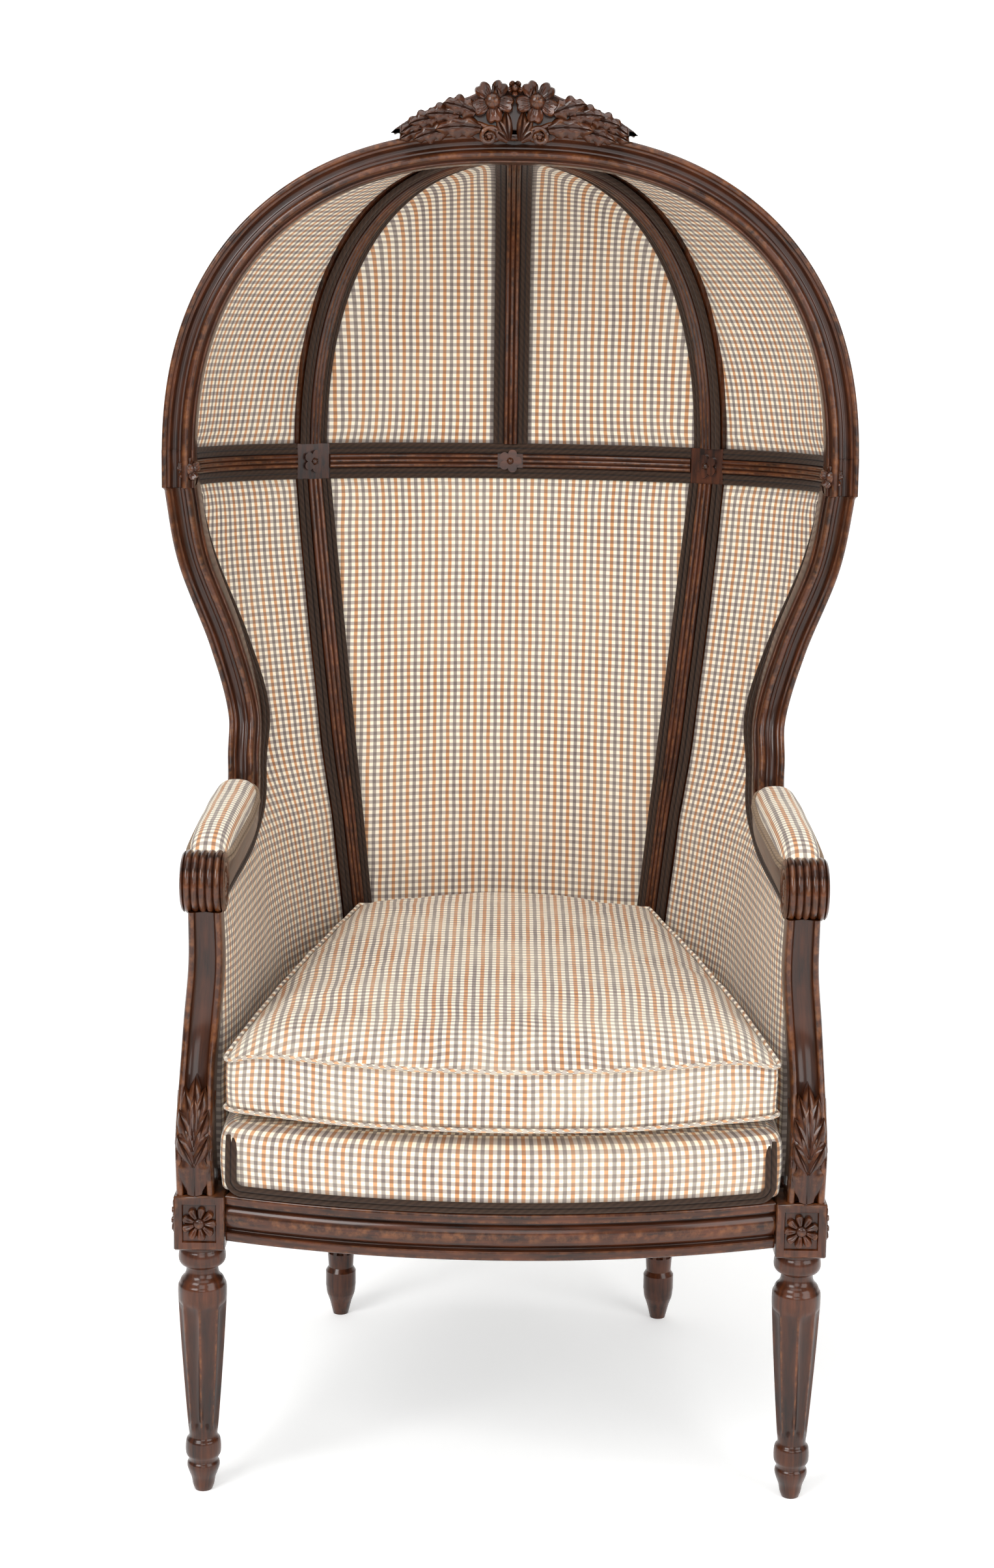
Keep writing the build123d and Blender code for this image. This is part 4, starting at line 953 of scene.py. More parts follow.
def tube(points, radii):
    """A tapering round bar along points."""
    shape, sides = Shape(), 8
    rows = []
    up = Vector((0.13, 0.31, 0.94))
    for index, here in enumerate(points):
        after, before = Vector(points[min(index + 1, len(points) - 1)]), Vector(points[max(index - 1, 0)])
        along = (after - before).normalized()
        aside = along.cross(up).normalized()
        other = aside.cross(along)
        row = []
        for step in range(sides):
            turn = 2 * pi * step / sides
            row.append(Vector(here) + aside * (cos(turn) * radii[index]) + other * (sin(turn) * radii[index]))
        rows.append(row)
    maps = [[(step / sides * 0.02, run * MM) for step in range(sides + 1)] for run in run_lengths(points)]
    shape.grid(rows, maps, closed=True, caps=True, high=[[0.8] * sides for _ in rows])
    return shape


def flower(heart, across, up, radius, thick, petals, turn=0.0, heart_share=0.3, cup=0.5):
    """Carved flower: cupped petals with a vein round a domed heart; across and up lie in its plane."""
    out = across.cross(up)
    columns = petals * 12
    rows, marks, maps = [], [], []
    inner = radius * heart_share
    shares = [0.0, 0.25, 0.5, 0.75, 0.92, 1.0]
    for share in shares:
        reach = inner * share
        rise = thick * (0.62 + 0.5 * sqrt(max(1 - share * share, 0)))
        rows.append([(reach, rise)] * columns)
        marks.append([0.9 - share * share * 1.3] * columns)
    for step in range(1, 13):
        share = step / 12
        row, row_marks = [], []
        for column in range(columns):
            angle = 2 * pi * column / columns
            part = (angle * petals / (2 * pi)) % 1 * 2 - 1
            limit = radius * (1 - 0.25 * abs(part) ** 2.4)
            reach = inner + (limit - inner) * share
            ridge = 0.34 + 0.66 * sin(pi * min(share * 0.62 + 0.16, 1)) ** 0.8
            side = 1 - 0.78 * abs(part) ** 3.5
            vein = 0.16 * exp(-((part / 0.16) ** 2)) * sin(pi * share)
            lip = cup * 0.35 * share**3 * (1 - abs(part) ** 2)
            rise = thick * (ridge * side - vein + lip)
            if share > 0.97:
                rise *= 0.45
            row.append((reach, rise))
            mark = 0.8 * share * (1 - abs(part) ** 2) - 0.9 * (abs(part) > 0.86)
            row_marks.append(mark - (0.5 if step < 2 else 0))
        rows.append(row)
        marks.append(row_marks)
    edge = [(reach, 0.0) for reach, _ in rows[-1]]
    rows.append(edge)
    marks.append([-0.8] * columns)
    shape = Shape()
    placed = []
    for row in rows:
        line, flat = [], []
        for column, (reach, rise) in enumerate(row):
            angle = 2 * pi * column / columns + turn
            line.append(heart + across * (cos(angle) * reach) + up * (sin(angle) * reach) + out * rise)
            flat.append((cos(angle) * reach * MM, sin(angle) * reach * MM))
        placed.append(line)
        maps.append(flat + [flat[0]])
    shape.grid(placed, maps, closed=True, caps=True, high=marks)
    return shape


def rose(heart, across, up, radius, petals, rise, turn=0.0, heart_radius=7.0):
    """Open carved flower: broad separate petals, notched and veined, round a domed heart."""
    out = across.cross(up)
    half_turn = pi / petals
    inner = heart_radius * 0.6
    shape = Shape()
    for number in range(petals):
        rows = []
        for row in range(13):
            share = row / 12
            cells = []
            for column in range(15):
                side = column / 7 - 1
                far = radius * (1 - 0.09 * exp(-((side / 0.2) ** 2)) - 0.24 * abs(side) ** 3.2)
                reach = inner + (far - inner) * share
                angle = turn + (2 * number + side * (0.82 + 0.14 * sin(pi * share))) * half_turn
                way = across * cos(angle) + up * sin(angle)
                vein = 0.5 + 0.5 * cos(side * 4.2 * pi)
                lift = rise * (0.45 + 0.55 * share**1.5) + rise * 0.42 * side * side * share
                lift -= 0.16 * rise * vein * sin(pi * share)
                near = heart + way * reach + out * (lift - rise * 0.5 * max(share - 0.93, 0) / 0.07)
                flat = (cos(angle) * reach * MM, sin(angle) * reach * MM)
                mark = 0.9 * share - 0.7 * vein - 0.7 * (abs(side) > 0.9) - 0.5 * (row < 3)
                cells.append((near, heart + way * reach - out * 2.0, flat, mark))
            rows.append(cells)
        shape.join(layered(rows, -0.7))
    dome = [(-2.0, 0.8, -0.8)]
    for lift, wide, mark in ((0.4, 1.0, -0.9), (0.9, 0.96, 0.1), (1.25, 0.7, 0.8), (1.42, 0.3, 1.0)):
        dome.append((rise * lift, wide, mark))
    dome = [(place, heart_radius * wide, mark) for place, wide, mark in dome] + [(rise * 1.45, 0.01, 0.6)]
    return shape.join(turned(dome, heart, out, across, 20))


def leaf(place, length, width, lobes, rise, curl, notch, rows=26, columns=13):
    """Carved leaf with a lobed edge, a sunk vein and a curled tip; place(along, aside, out) puts it down."""
    sheet = []
    for row in range(rows):
        share = row / (rows - 1)
        shape_width = sin(pi * min(share * 0.80 + 0.17, 1)) ** 0.75
        lobe = 1 - notch * (0.5 - 0.5 * cos(2 * pi * lobes * share + pi * 0.9)) ** 1.6
        half = width / 2 * shape_width * lobe * (1 - share**9)
        cells = []
        for column in range(columns):
            side = column / (columns - 1) * 2 - 1
            wave = cos(2 * pi * lobes * (share - 0.11 * abs(side)) + pi * 0.9)
            hump, vein = 1 - abs(side) ** 2.2, exp(-((side / 0.13) ** 2))
            fold = 0.16 * wave
            out = rise * (0.30 + 0.62 * hump - 0.30 * vein + fold * abs(side)) + curl * share**3
            run = min((share * length) + abs(side) * half * 0.18, length)
            mark = 0.75 * (1 - abs(abs(side) - 0.5) * 1.5) - 1.3 * exp(-((side / 0.14) ** 2)) + 0.35 * wave
            flat = (side * half * MM, share * length * MM)
            cells.append((place(run, side * half, max(out, 0.8)), place(run, side * half, -1.2), flat, mark))
        sheet.append(cells)
    return layered(sheet, -0.6)


def flat_place(heart, along, aside, out):
    """A leaf's placing on a flat ground."""
    return lambda run, side, rise: heart + along * run + aside * side + out * rise


def bent_place(heart, along, aside, out, curve):
    """A leaf's placing along an arc in its own plane; curve is its turn for each unit of run."""

    def place(run, side, rise):
        turn = run * curve
        centre = along * (sin(turn) / curve) + aside * ((1 - cos(turn)) / curve)
        return heart + centre + (aside * cos(turn) - along * sin(turn)) * side + out * rise

    return place


# Arms

scroll_radius = 36.0
scroll_heart = frame_place(0) - Vector((0, scroll_radius * 0.5, -scroll_radius * 0.1))
support_height_shares = [0.0, 0.20, 0.42, 0.60, 0.80, 1.0]
support_x_shifts = [5.0, 7.0, 6.0, 2.0, -4.0, -5.0]
support_y_shifts = [0.0, 4.0, 26.0, 36.0, 28.0, 14.0]
support_widths = [44.0, 43.0, 40.0, 41.0, 40.0, 38.0]
support_depths = [52.0, 50.0, 42.0, 38.0, 36.0, 38.0]
support_top = scroll_heart.z - scroll_radius * 0.86


def arm_scroll():
    """Reeded roll at the front of the arm, with a carved volute on both ends."""
    profile = [(-24.5, 0.01, 0.6), (-24.5, 5.0, 0.8), (-23.8, 7.6, 0.2), (-21.5, 8.6, -0.8), (-21.0, 22.0, -0.6)]
    profile += [(-22.0, 25.0, -0.2), (-24.2, 27.0, 0.6), (-25.0, 29.5, 0.9), (-24.2, 32.5, 0.6), (-22.0, 34.6, 0.2)]
    reeds = 5
    pitch = 42.0 / reeds
    for reed in range(reeds):
        start = -21.0 + reed * pitch
        for part in range(7):
            share = part / 6
            if part == 0 and reed:
                continue
            swell = sin(pi * share) ** 0.55
            profile.append((start + pitch * share, 32.6 + 3.6 * swell, 1.9 * swell - 0.95))
    half = [(-x, r, m) for x, r, m in profile[:10]][::-1]
    profile += half
    shape = turned(profile, scroll_heart, Vector((1, 0, 0)), Vector((0, -1, 0)), 56)
    for side in (-1, 1):
        points, radii = [], []
        for step in range(44):
            share = step / 43
            angle = -pi * 0.5 + share * 2 * pi * 1.6
            reach = 27.0 - 18.5 * share**0.9
            points.append(scroll_heart + Vector((side * 22.3, -cos(angle) * reach, sin(angle) * reach)))
            radii.append(3.4 - 1.5 * share)
        shape.join(tube(points, radii))
    return shape


def support_place(share):
    """Middle, width and depth of the arm support at a share of its height."""
    height = rail_top + (support_top - rail_top) * share
    table = support_height_shares
    return (
        Vector(
            (
                leg_half_spread + soft_blend(share, table, support_x_shifts),
                front_y + soft_blend(share, table, support_y_shifts),
                height,
            )
        ),
        soft_blend(share, table, support_widths),
        soft_blend(share, table, support_depths),
    )


# Section of the arm support, in shares of its half width and half depth, its front turned down
support_face = [
    (-1.0, -0.30, 0.1),
    (-1.0, -0.66, 0.4),
    (-0.93, -0.90, 0.9),
    (-0.78, -0.99, 1.0),
    (-0.63, -0.94, 0.7),
    (-0.56, -0.78, -0.7),
    (-0.36, -0.66, -0.9),
    (0.0, -0.60, -0.6),
    (0.36, -0.66, -0.9),
    (0.56, -0.78, -0.7),
    (0.63, -0.94, 0.7),
    (0.78, -0.99, 1.0),
    (0.93, -0.90, 0.9),
    (1.0, -0.66, 0.4),
    (1.0, -0.30, 0.1),
]


def arm_support_shape():
    """Swept arm support with a sunk channel down its front and a bead on each edge."""
    ring = fluent(support_face, 3) + [(1.0, 0.6, 0.0), (0.9, 0.95, 0.2), (-0.9, 0.95, 0.2), (-1.0, 0.6, 0.0)]
    shape = Shape()
    rows, marks, count = [], [], 46
    for step in range(count):
        middle, width, depth = support_place(step / (count - 1))
        rows.append([middle + Vector((x * width / 2, y * depth / 2, 0)) for x, y, _ in ring])
        marks.append([mark for _, _, mark in ring])
    around = run_lengths([(x * 22, y * 22, 0) for x, y, _ in ring + ring[:1]])
    maps = [[(place * MM, rows[r][0].z * MM) for place in around] for r in range(count)]
    shape.grid(rows, maps, closed=True, caps=True, high=marks)
    return shape


def support_leaves():
    """Acanthus wrapped round the foot of the arm support."""
    shape = Shape()

    def front(run, side, rise):
        middle, width, depth = support_place(min(max(run, 0) / (support_top - rail_top), 1))
        bend = min(abs(side) / (width / 2), 1.3)
        back = max(bend - 0.82, 0) * width * 0.5
        return middle + Vector((side, -depth / 2 - rise + 3.0 + back, 0))

    def flank(sign):
        def place(run, side, rise):
            middle, width, depth = support_place(min(max(run, 0) / (support_top - rail_top), 1))
            return middle + Vector((sign * (width / 2 + rise * 0.45 - 2.2), -depth * 0.12 + side, 0))

        return place

    def fanned(start, turn):
        return lambda run, side, rise: front(
            start + run * cos(turn) - side * sin(turn), run * sin(turn) + side * cos(turn), rise
        )

    shape.join(leaf(fanned(0, 0), 112, 44, lobes=3, rise=6.5, curl=3.0, notch=0.4, rows=34, columns=15))
    for start, turn, length in ((34, 0.46, 40), (52, 0.36, 48), (64, 0.2, 58), (70, 0.0, 64)):
        for sign in (-1, 1) if turn else (1,):
            place = fanned(start, turn * sign)
            shape.join(leaf(place, length, 17, lobes=1, rise=7.5, curl=4.0, notch=0.0, rows=16, columns=9))
    for sign in (-1, 1):
        shape.join(leaf(flank(sign), 112, 40, lobes=4, rise=5.5, curl=3.5, notch=0.4, rows=30, columns=13))
    return shape


# Legs

leg_turn_shares = [
    (0.36, 0.0), (0.44, 0.02), (0.50, 0.05), (0.60, 0.075), (0.67, 0.097), (0.66, 0.112), (0.60, 0.122), (0.64, 0.135),
    (0.72, 0.15), (0.735, 0.178), (0.70, 0.205), (0.62, 0.216), (0.585, 0.228), (0.62, 0.26),
    (0.70, 0.35), (0.80, 0.48),
    (0.90, 0.62), (0.98, 0.755), (1.0, 0.80), (0.99, 0.832), (0.93, 0.845), (0.86, 0.86), (0.72, 0.875), (0.655, 0.895),
    (0.70, 0.913), (0.86, 0.92), (0.95, 0.934), (0.965, 0.952), (0.93, 0.972), (0.87, 0.985), (0.87, 1.0),
]
leg_radius = 28.0
flute_count = 8


def leg_shape(x, y):
    """Turned and fluted leg, up to the underside of its block."""
    points = fluent([(wide, high) for wide, high in leg_turn_shares], 4)
    columns = flute_count * 10
    rows, marks = [], []
    for wide, high in points:
        row, line = [], []
        open_part = min(max((high - 0.262) / 0.035, 0), 1) * min(max((0.772 - high) / 0.035, 0), 1)
        depth = 4.3 * sqrt(max(1 - (1 - open_part) ** 2, 0))
        for column in range(columns):
            angle = 2 * pi * (column + 0.5) / columns
            part = (angle * flute_count / (2 * pi)) % 1 * 2 - 1
            cut = sqrt(max(1 - (part / 0.80) ** 2, 0))
            radius = leg_radius * wide - depth * cut
            row.append(Vector((x + cos(angle) * radius, y + sin(angle) * radius, block_bottom * high)))
            mark = -1.0 * cut if depth > 0.3 else 0.0
            if depth > 0.3 and cut < 0.1:
                mark = 0.9
            line.append(mark)
        rows.append(row)
        marks.append(line)
    for index, (wide, _) in enumerate(points):
        slope = points[min(index + 2, len(points) - 1)][0] + points[max(index - 2, 0)][0] - 2 * wide
        swell = max(-1, min(1, -slope * 9))
        marks[index] = [mark if abs(mark) > 0.05 else swell for mark in marks[index]]
    shape = Shape()
    along = run_lengths([(wide * leg_radius, high * block_bottom, 0) for wide, high in points])
    maps = [[(2 * pi * 20 * c / columns * MM, run * MM) for c in range(columns + 1)] for run in along]
    shape.grid(rows, maps, closed=True, caps=True, high=marks)
    return shape


def panelled_block(x, y, low, high, half, faces):
    """Square block with eased edges and sunk panels on some faces (as (axis, sign) pairs)."""
    recess, rim, ease = 2.5, 7.0, 1.6
    shape = Shape()
    middle = Vector((x, y, (low + high) / 2))
    sizes = (half, half, (high - low) / 2)
    axes = [Vector((1, 0, 0)), Vector((0, 1, 0)), Vector((0, 0, 1))]
    for axis in range(3):
        first, second = [a for a in range(3) if a != axis]
        for sign in (-1, 1):
            out = axes[axis] * sign
            steps = [(0, 0, 0.5)]
            if (axis, sign) in faces:
                steps += [(rim, 0, 0.1), (rim + 0.9, 0.5, 0.5), (rim + 2.2, -recess, -0.9), (rim + 4.0, -recess, -0.4)]
            rows, maps = [], []
            for inset, rise, _ in steps:
                a, b = sizes[first] - ease - inset, sizes[second] - ease - inset
                face = middle + out * (sizes[axis] + rise)
                corners = [(-a, -b), (a, -b), (a, b), (-a, b)]
                row = [face + axes[first] * p + axes[second] * q for p, q in corners]
                rows.append(row)
                maps.append([((p - middle)[first] * MM, (p - middle)[second] * MM) for p in row + row[:1]])
            marks = [[mark] * 4 for _, _, mark in steps]
            if len(rows) > 1:
                shape.grid(rows, maps, closed=True, high=marks)
            start = len(shape.verts)
            for place in rows[-1]:
                shape.verts.append(tuple(value * MM for value in place))
                shape.high.append(0.0)
            shape.faces.append((start, start + 1, start + 2, start + 3))
            shape.maps.append(maps[-1][:4])
            # Eased edges towards the neighbours
            for neighbour, other in ((first, second), (second, first)):
                if neighbour < axis:
                    continue
                for side in (-1, 1):
                    near = axes[axis] * sign * sizes[axis] + axes[neighbour] * side * (sizes[neighbour] - ease)
                    far = axes[axis] * sign * (sizes[axis] - ease) + axes[neighbour] * side * sizes[neighbour]
                    span = axes[other] * (sizes[other] - ease)
                    start = len(shape.verts)
                    for place in (near - span, near + span, far + span, far - span):
                        shape.verts.append(tuple(value * MM for value in middle + place))
                        shape.high.append(1.0)
                    shape.faces.append((start, start + 1, start + 2, start + 3))
                    shape.maps.append([(0, 0), (0, 0.05), (0.002, 0.05), (0.002, 0)])
    for sx in (-1, 1):
        for sy in (-1, 1):
            for sz in (-1, 1):
                start = len(shape.verts)
                signs = (sx, sy, sz)
                for axis in range(3):
                    place = Vector([signs[k] * (sizes[k] - (0 if k == axis else ease)) for k in range(3)])
                    shape.verts.append(tuple(value * MM for value in middle + place))
                    shape.high.append(1.0)
                shape.faces.append((start, start + 1, start + 2))
                shape.maps.append([(0, 0)] * 3)
    return shape


def front_leg_piece():
    """Front leg, its block with two sunk panels, and a rosette in each."""
    shape = leg_shape(leg_half_spread, front_y)
    half = block_size / 2
    shape.join(panelled_block(leg_half_spread, front_y, block_bottom, rail_top, half, {(0, 1), (1, -1)}))
    middle = (block_bottom + rail_top) / 2
    for x, y, across in ((0, -half + 2.6, Vector((1, 0, 0))), (half - 2.6, 0, Vector((0, 1, 0)))):
        heart = Vector((leg_half_spread + x, front_y + y, middle))
        shape.join(flower(heart, across, Vector((0, 0, 1)), 20.0, 6.5, 9))
    return shape


# Moulded rails: place outwards from the face, height above the rail's foot, mark
rail_face_profile = [
    (-1.4, 0.0, 0.3), (0.0, 1.4, 0.9), (0.2, 5.0, 0.3), (0.0, 9.6, 0.7), (-1.0, 10.8, 0.3), (-5.0, 11.2, -0.9),
    (-6.4, 12.4, -1.0), (-5.6, 14.2, -0.8), (-3.0, 15.6, -0.1), (-1.0, 19.0, 0.4), (0.3, 24.0, 0.8), (0.6, 27.5, 1.0),
    (0.2, 32.0, 0.7), (-1.2, 36.0, 0.2), (-3.4, 38.8, -0.3), (-5.8, 40.0, -0.9), (-6.2, 41.6, -1.0), (-5.0, 42.8, -0.9),
    (-1.2, 43.4, 0.2), (0.0, 44.6, 0.8), (0.2, 48.6, 0.3), (0.0, 52.4, 0.9), (-1.4, 54.0, 0.5),
]


def rail_shape(line, thick):
    """A moulded rail along a line in plan of (place, outward direction)."""
    ring = fluent(rail_face_profile, 2) + [(-thick, 54.0, 0.0), (-thick, 0.0, 0.0)]
    up = Vector((0, 0, 1))
    frames = [(Vector((*place, rail_bottom)), Vector((*out, 0)), up) for place, out in line]
    return carried(frames, ring)


def bowed_line(start, end, bow, count):
    """Places and outward directions along a circular bow between two places."""
    run = Vector((end[0] - start[0], end[1] - start[1]))
    length = run.length
    run.normalize()
    out = Vector((run.y, -run.x))
    radius = (length * length / 4 + bow * bow) / (2 * bow)
    middle = (Vector(start) + Vector(end)) / 2
    heart = middle - out * (radius - bow)
    spread = asin(length / 2 / radius)
    line = []
    for index in range(count):
        angle = spread * (2 * index / (count - 1) - 1)
        way = out * cos(angle) + run * sin(angle)
        line.append((heart + way * radius, way))
    return line


# Reeds and cords on the members

strip_face = []
for reed_index in range(3):
    for reed_step in range(7):
        if reed_step == 0 and reed_index:
            continue
        reed_part = reed_step / 6
        reed_swell = sin(pi * reed_part) ** 0.6
        strip_face.append((-9.3 + (reed_index + reed_part) * 6.2, 0.3 + 2.3 * reed_swell, 1.9 * reed_swell - 0.9))
strip_ring = [(-9.3, -1.6, 0.0)] + strip_face + [(9.3, -1.6, 0.0)]
strip_seat = wood_half + 0.3
cord_seat = wood_half - 2.4
cord_aside = 16.4
cord_shift = 3.35
ring_front_across = side_across_at(ring_height, ring_axis_y + member_width / 2)
ring_side_end = side_edge(ring_height, member_width / 2)
ring_back_start = back_edge(ring_height, member_width / 2)


def stile_spot(height, aside, grow):
    """A place on a stile's section."""
    x, y = member_point(height, 0.5 + aside / member_width, grow)
    return Vector((x, y, height))


def ring_side_spot(across, aside, grow):
    """A place on the ring beside the wing."""
    x, y = wall_point(ring_height, across, grow)
    return Vector((x, y, ring_height + aside))


def ring_back_spot(share, aside, grow):
    """A place on the ring across the back; share runs from -1 to 1."""
    across = 3 - (3 - ring_back_start) * abs(share)
    x, y = wall_point(ring_height, min(across, centre_across), grow)
    return Vector((x * (1 if share >= 0 else -1), y, ring_height + aside))


def rib_spot(direction, reach):
    """Places on a hood rib: turn up the profile, aside from its middle, and depth."""

    def spot(turn, aside, grow):
        out, rise = quarter(reach, grow, turn)
        return Vector(
            (
                out * cos(direction) - aside * sin(direction),
                ring_axis_y + out * sin(direction) + aside * cos(direction),
                ring_height + rise,
            )
        )

    return spot


def low_turn(rise):
    """Turn on the hood's profile at a rise above the ring."""
    return asin(min((rise / dome_rise) ** (dome_bulge / 2), 1))


def reed_strip(spot, steps):
    """Three reeds along a member."""
    marks = [mark for _, _, mark in strip_ring]
    return swept(lambda step, x, y: spot(step, x, -strip_seat - y), steps, [(x, y) for x, y, _ in strip_ring], marks)


def cord_lines(spot, steps):
    """Double cords on both sides of a member's reeds."""
    asides = [aside + shift for aside in (-cord_aside, cord_aside) for shift in (-cord_shift, cord_shift)]
    return [[spot(step, aside, -cord_seat) for step in steps] for aside in asides]


def spaced(start, end, count):
    """Evenly spaced steps."""
    return [start + (end - start) * index / (count - 1) for index in range(count)]


side_rib_spot = rib_spot(rib_turn, rib_reach)
centre_rib_spot = rib_spot(pi / 2, ring_half_depth)
rib_low = low_turn(member_width / 2 + 0.4)
centre_high = acos(((arch_back + 1.0 - ring_axis_y) / (ring_half_depth - wood_half)) ** (dome_bulge / 2))
side_high = acos(((member_width / 2 + 11.0) / cos(rib_turn) / (rib_reach - wood_half)) ** (dome_bulge / 2))


# Upholstered panels

edge_clear = frame_back + 3.2
side_front = front_y + block_size / 2 + 28.0
wall_low = deck_low
panel_top = ring_low - 0.6
clear_member = member_width / 2 + seam
cover_inner = wood_half + seam
cover_outer = cover_inner + cover_thick


def edge_places(clearance):
    """Where a line runs beside the frame: depth and height, from under the arm up to the ring."""
    places, fine = [], 4
    for index in range(2, 10 * fine):
        station = index / fine
        here = frame_place(station)
        before, after = frame_place(max(station - 0.5, 0)), frame_place(min(station + 0.5, 10))
        run = (after.y - before.y, after.z - before.z)
        length = hypot(*run)
        place = (here.y + run[1] / length * clearance, here.z - run[0] / length * clearance)
        if place[1] < ring_low - 24 and (not places or place[1] > places[-1][1] + 0.4):
            places.append(place)
    foot = (ring_axis_y + arch_depth / 2 + clearance - frame_back + 8.5, panel_top)
    last = places[-1]
    places.append(((last[0] + foot[0]) / 2 + 8.5, (last[1] + foot[1]) / 2))
    places.append(foot)
    return places


def distance_to(line, y, z):
    """Distance from a place to a line of places in side view."""
    best = 1e9
    for index in range(len(line) - 1):
        ay, az = line[index]
        by, bz = line[index + 1]
        ry, rz = by - ay, bz - az
        part = ((y - ay) * ry + (z - az) * rz) / (ry * ry + rz * rz + 1e-9)
        part = max(0, min(1, part))
        best = min(best, hypot(y - ay - ry * part, z - az - rz * part))
    return best


def eased_steps(start, end, count, ease):
    """Steps that lie closer together near both ends."""
    steps = []
    for index in range(count):
        share = index / (count - 1)
        share = share * (1 - ease) + (0.5 - 0.5 * cos(pi * share)) * ease
        steps.append(start + (end - start) * share)
    return steps


def puffed(distance, deepest=15.2):
    """How far a stuffed panel stands inwards at a distance from its edge."""
    edge, soft = 6.6, 24.0
    return edge + (deepest - edge) * (1 - exp(-max(distance, 0) / soft))


def ripple(x, y, z, size, height):
    """Slight unevenness of stuffing under cloth."""
    return noise.noise(Vector((x / size, y / size, z / size))) * height


def covered(gap, spot, height):
    """How far an outside cover stands out at a distance from its edge."""
    return cover_outer - 1.6 * exp(-gap / 8) + ripple(*spot, height, 90, 0.8)


def side_sheet(edge, stuffed):
    """Stuffed side panel or outside side cover, from beside the frame back to the stile."""
    lip = edge[0][1] - 1.0
    heights = eased_steps(wall_low, lip, 22 if stuffed else 18, 0.2) + [height for _, height in edge]
    boundary = [(side_front, wall_low), (side_front, lip)] + edge
    start_grow, grow, far_grow, foot = -8, -panel_inner, panel_outer, wall_low
    margin, columns, ease = clear_member, 46, 0.55
    if not stuffed:
        heights += [ring_height, ring_high]
        boundary.append((edge[-1][0], ring_high))
        start_grow, grow, far_grow, foot = cover_inner, cover_inner, cover_inner, 0.0
        margin, columns, ease = 1.5, 34, 0.3
    edge_depths, edge_heights = zip(*edge)
    rows = []
    for height in heights:
        level = min(height, ring_height)
        start_y = side_front
        if height >= edge_heights[0]:
            start_y = max(blend(height, edge_heights, edge_depths), side_front)
        start = side_across_at(level, start_y, start_grow)
        steps = eased_steps(side_edge(level, margin), start, columns, ease)
        middle = [wall_point(level, step, grow) for step in steps]
        cells = []
        for step, spot, run in zip(steps, middle, run_lengths([(*spot, 0) for spot in middle])):
            gap = min(distance_to(boundary, spot[1], height), run)
            if stuffed:
                rise = -puffed(min(gap, panel_top - height)) - ripple(*spot, height, 60, 1.3)
            else:
                rise = covered(gap, spot, height)
            near, far = wall_point(level, step, rise), wall_point(level, step, far_grow)
            cells.append((Vector((*near, height)), Vector((*far, height)), (run * MM, (height - foot) * MM)))
        rows.append(cells)
    return layered(rows)


def back_sheet(stuffed):
    """Stuffed back panel between the stiles, or the outside cover between their middles."""
    if stuffed:
        heights, shares = eased_steps(wall_low, panel_top, 54, 0.3), eased_steps(-1, 1, 61, 0.35)
        grow, far_grow, margin = -panel_inner, panel_outer, clear_member
    else:
        heights = spaced(wall_low, ring_low, 40) + [ring_height, ring_high]
        shares = eased_steps(-1, 1, 49, 0.2)
        grow, far_grow, margin = cover_inner, cover_inner, 1.5
    rows = []
    for height in heights:
        level = min(height, ring_height)
        reach = 3 - back_edge(level, margin)

        def spot_at(share, out):
            x, y = wall_point(level, min(3 - reach * abs(share), centre_across), out)
            return (-x if share < 0 else x), y

        middle = [spot_at(share, grow) for share in shares]
        runs = run_lengths([(*spot, 0) for spot in middle])
        cells = []
        for share, spot, run in zip(shares, middle, runs):
            if stuffed:
                gap = min(run, runs[-1] - run, panel_top - height)
                rise = -puffed(gap, 16.0) - ripple(*spot, height, 75, 1.6)
                flat = ((run - runs[-1] / 2) * MM, (height - wall_low) * MM)
            else:
                rise = covered((1 - abs(share)) * 200, spot, height)
                flat = (spot_at(share, rise)[0] * MM, height * MM)
            near, far = spot_at(share, rise), spot_at(share, far_grow)
            cells.append((Vector((*near, height)), Vector((*far, height)), flat))
        rows.append(cells)
    return layered(rows)


def hood_levels(foot, top, count):
    """Heights up the hood that lie closer together near the crown."""
    return [foot + (top - foot) * sin(pi / 2 * index / (count - 1)) ** 0.9 for index in range(count)]


def hood_sheet(turns, from_far, stuffed=True):
    """A panel or a cover of the hood between two turns given for each depth."""
    if stuffed:
        grow, far_rise, columns, count, top_share = -panel_inner, panel_outer, 40, 46, 0.989
    else:
        grow, far_rise, columns, count, top_share = cover_inner, cover_inner, 56, 50, 0.9985
    foot = ring_high + seam
    top = foot + (dome_rise + grow - member_width / 2 - seam) * top_share
    rows, runs_up, last = [], [0.0] * columns, None
    for height in hood_levels(foot, top, count):
        start, end = turns(height, grow)
        steps = eased_steps(start, end, columns, 0.4)
        middle = [(*hood_place(height, step, grow), height) for step in steps]
        runs = run_lengths(middle)
        if last:
            runs_up = [run + (Vector(a) - Vector(b)).length for run, a, b in zip(runs_up, middle, last)]
        last = middle
        cells = []
        for step, spot, run, run_up in zip(steps, middle, runs, runs_up):
            gap = min(run, runs[-1] - run, run_up)
            if stuffed:
                rise = -puffed(gap) - ripple(*spot, 60, 1.2)
            else:
                rise = cover_outer - 1.5 * exp(-gap / 9) + ripple(*spot, 80, 0.7)
            share = (step - start) / (end - start) if abs(end - start) > 1e-6 else 0
            places = []
            for depth in (rise, far_rise):
                low, high = turns(height, depth)
                places.append(Vector((*hood_place(height, low + (high - low) * share, depth), height)))
            side = runs[-1] - run if from_far else run
            cells.append((*places, (side * MM, run_up * MM)))
        rows.append(cells)
    return layered(rows)


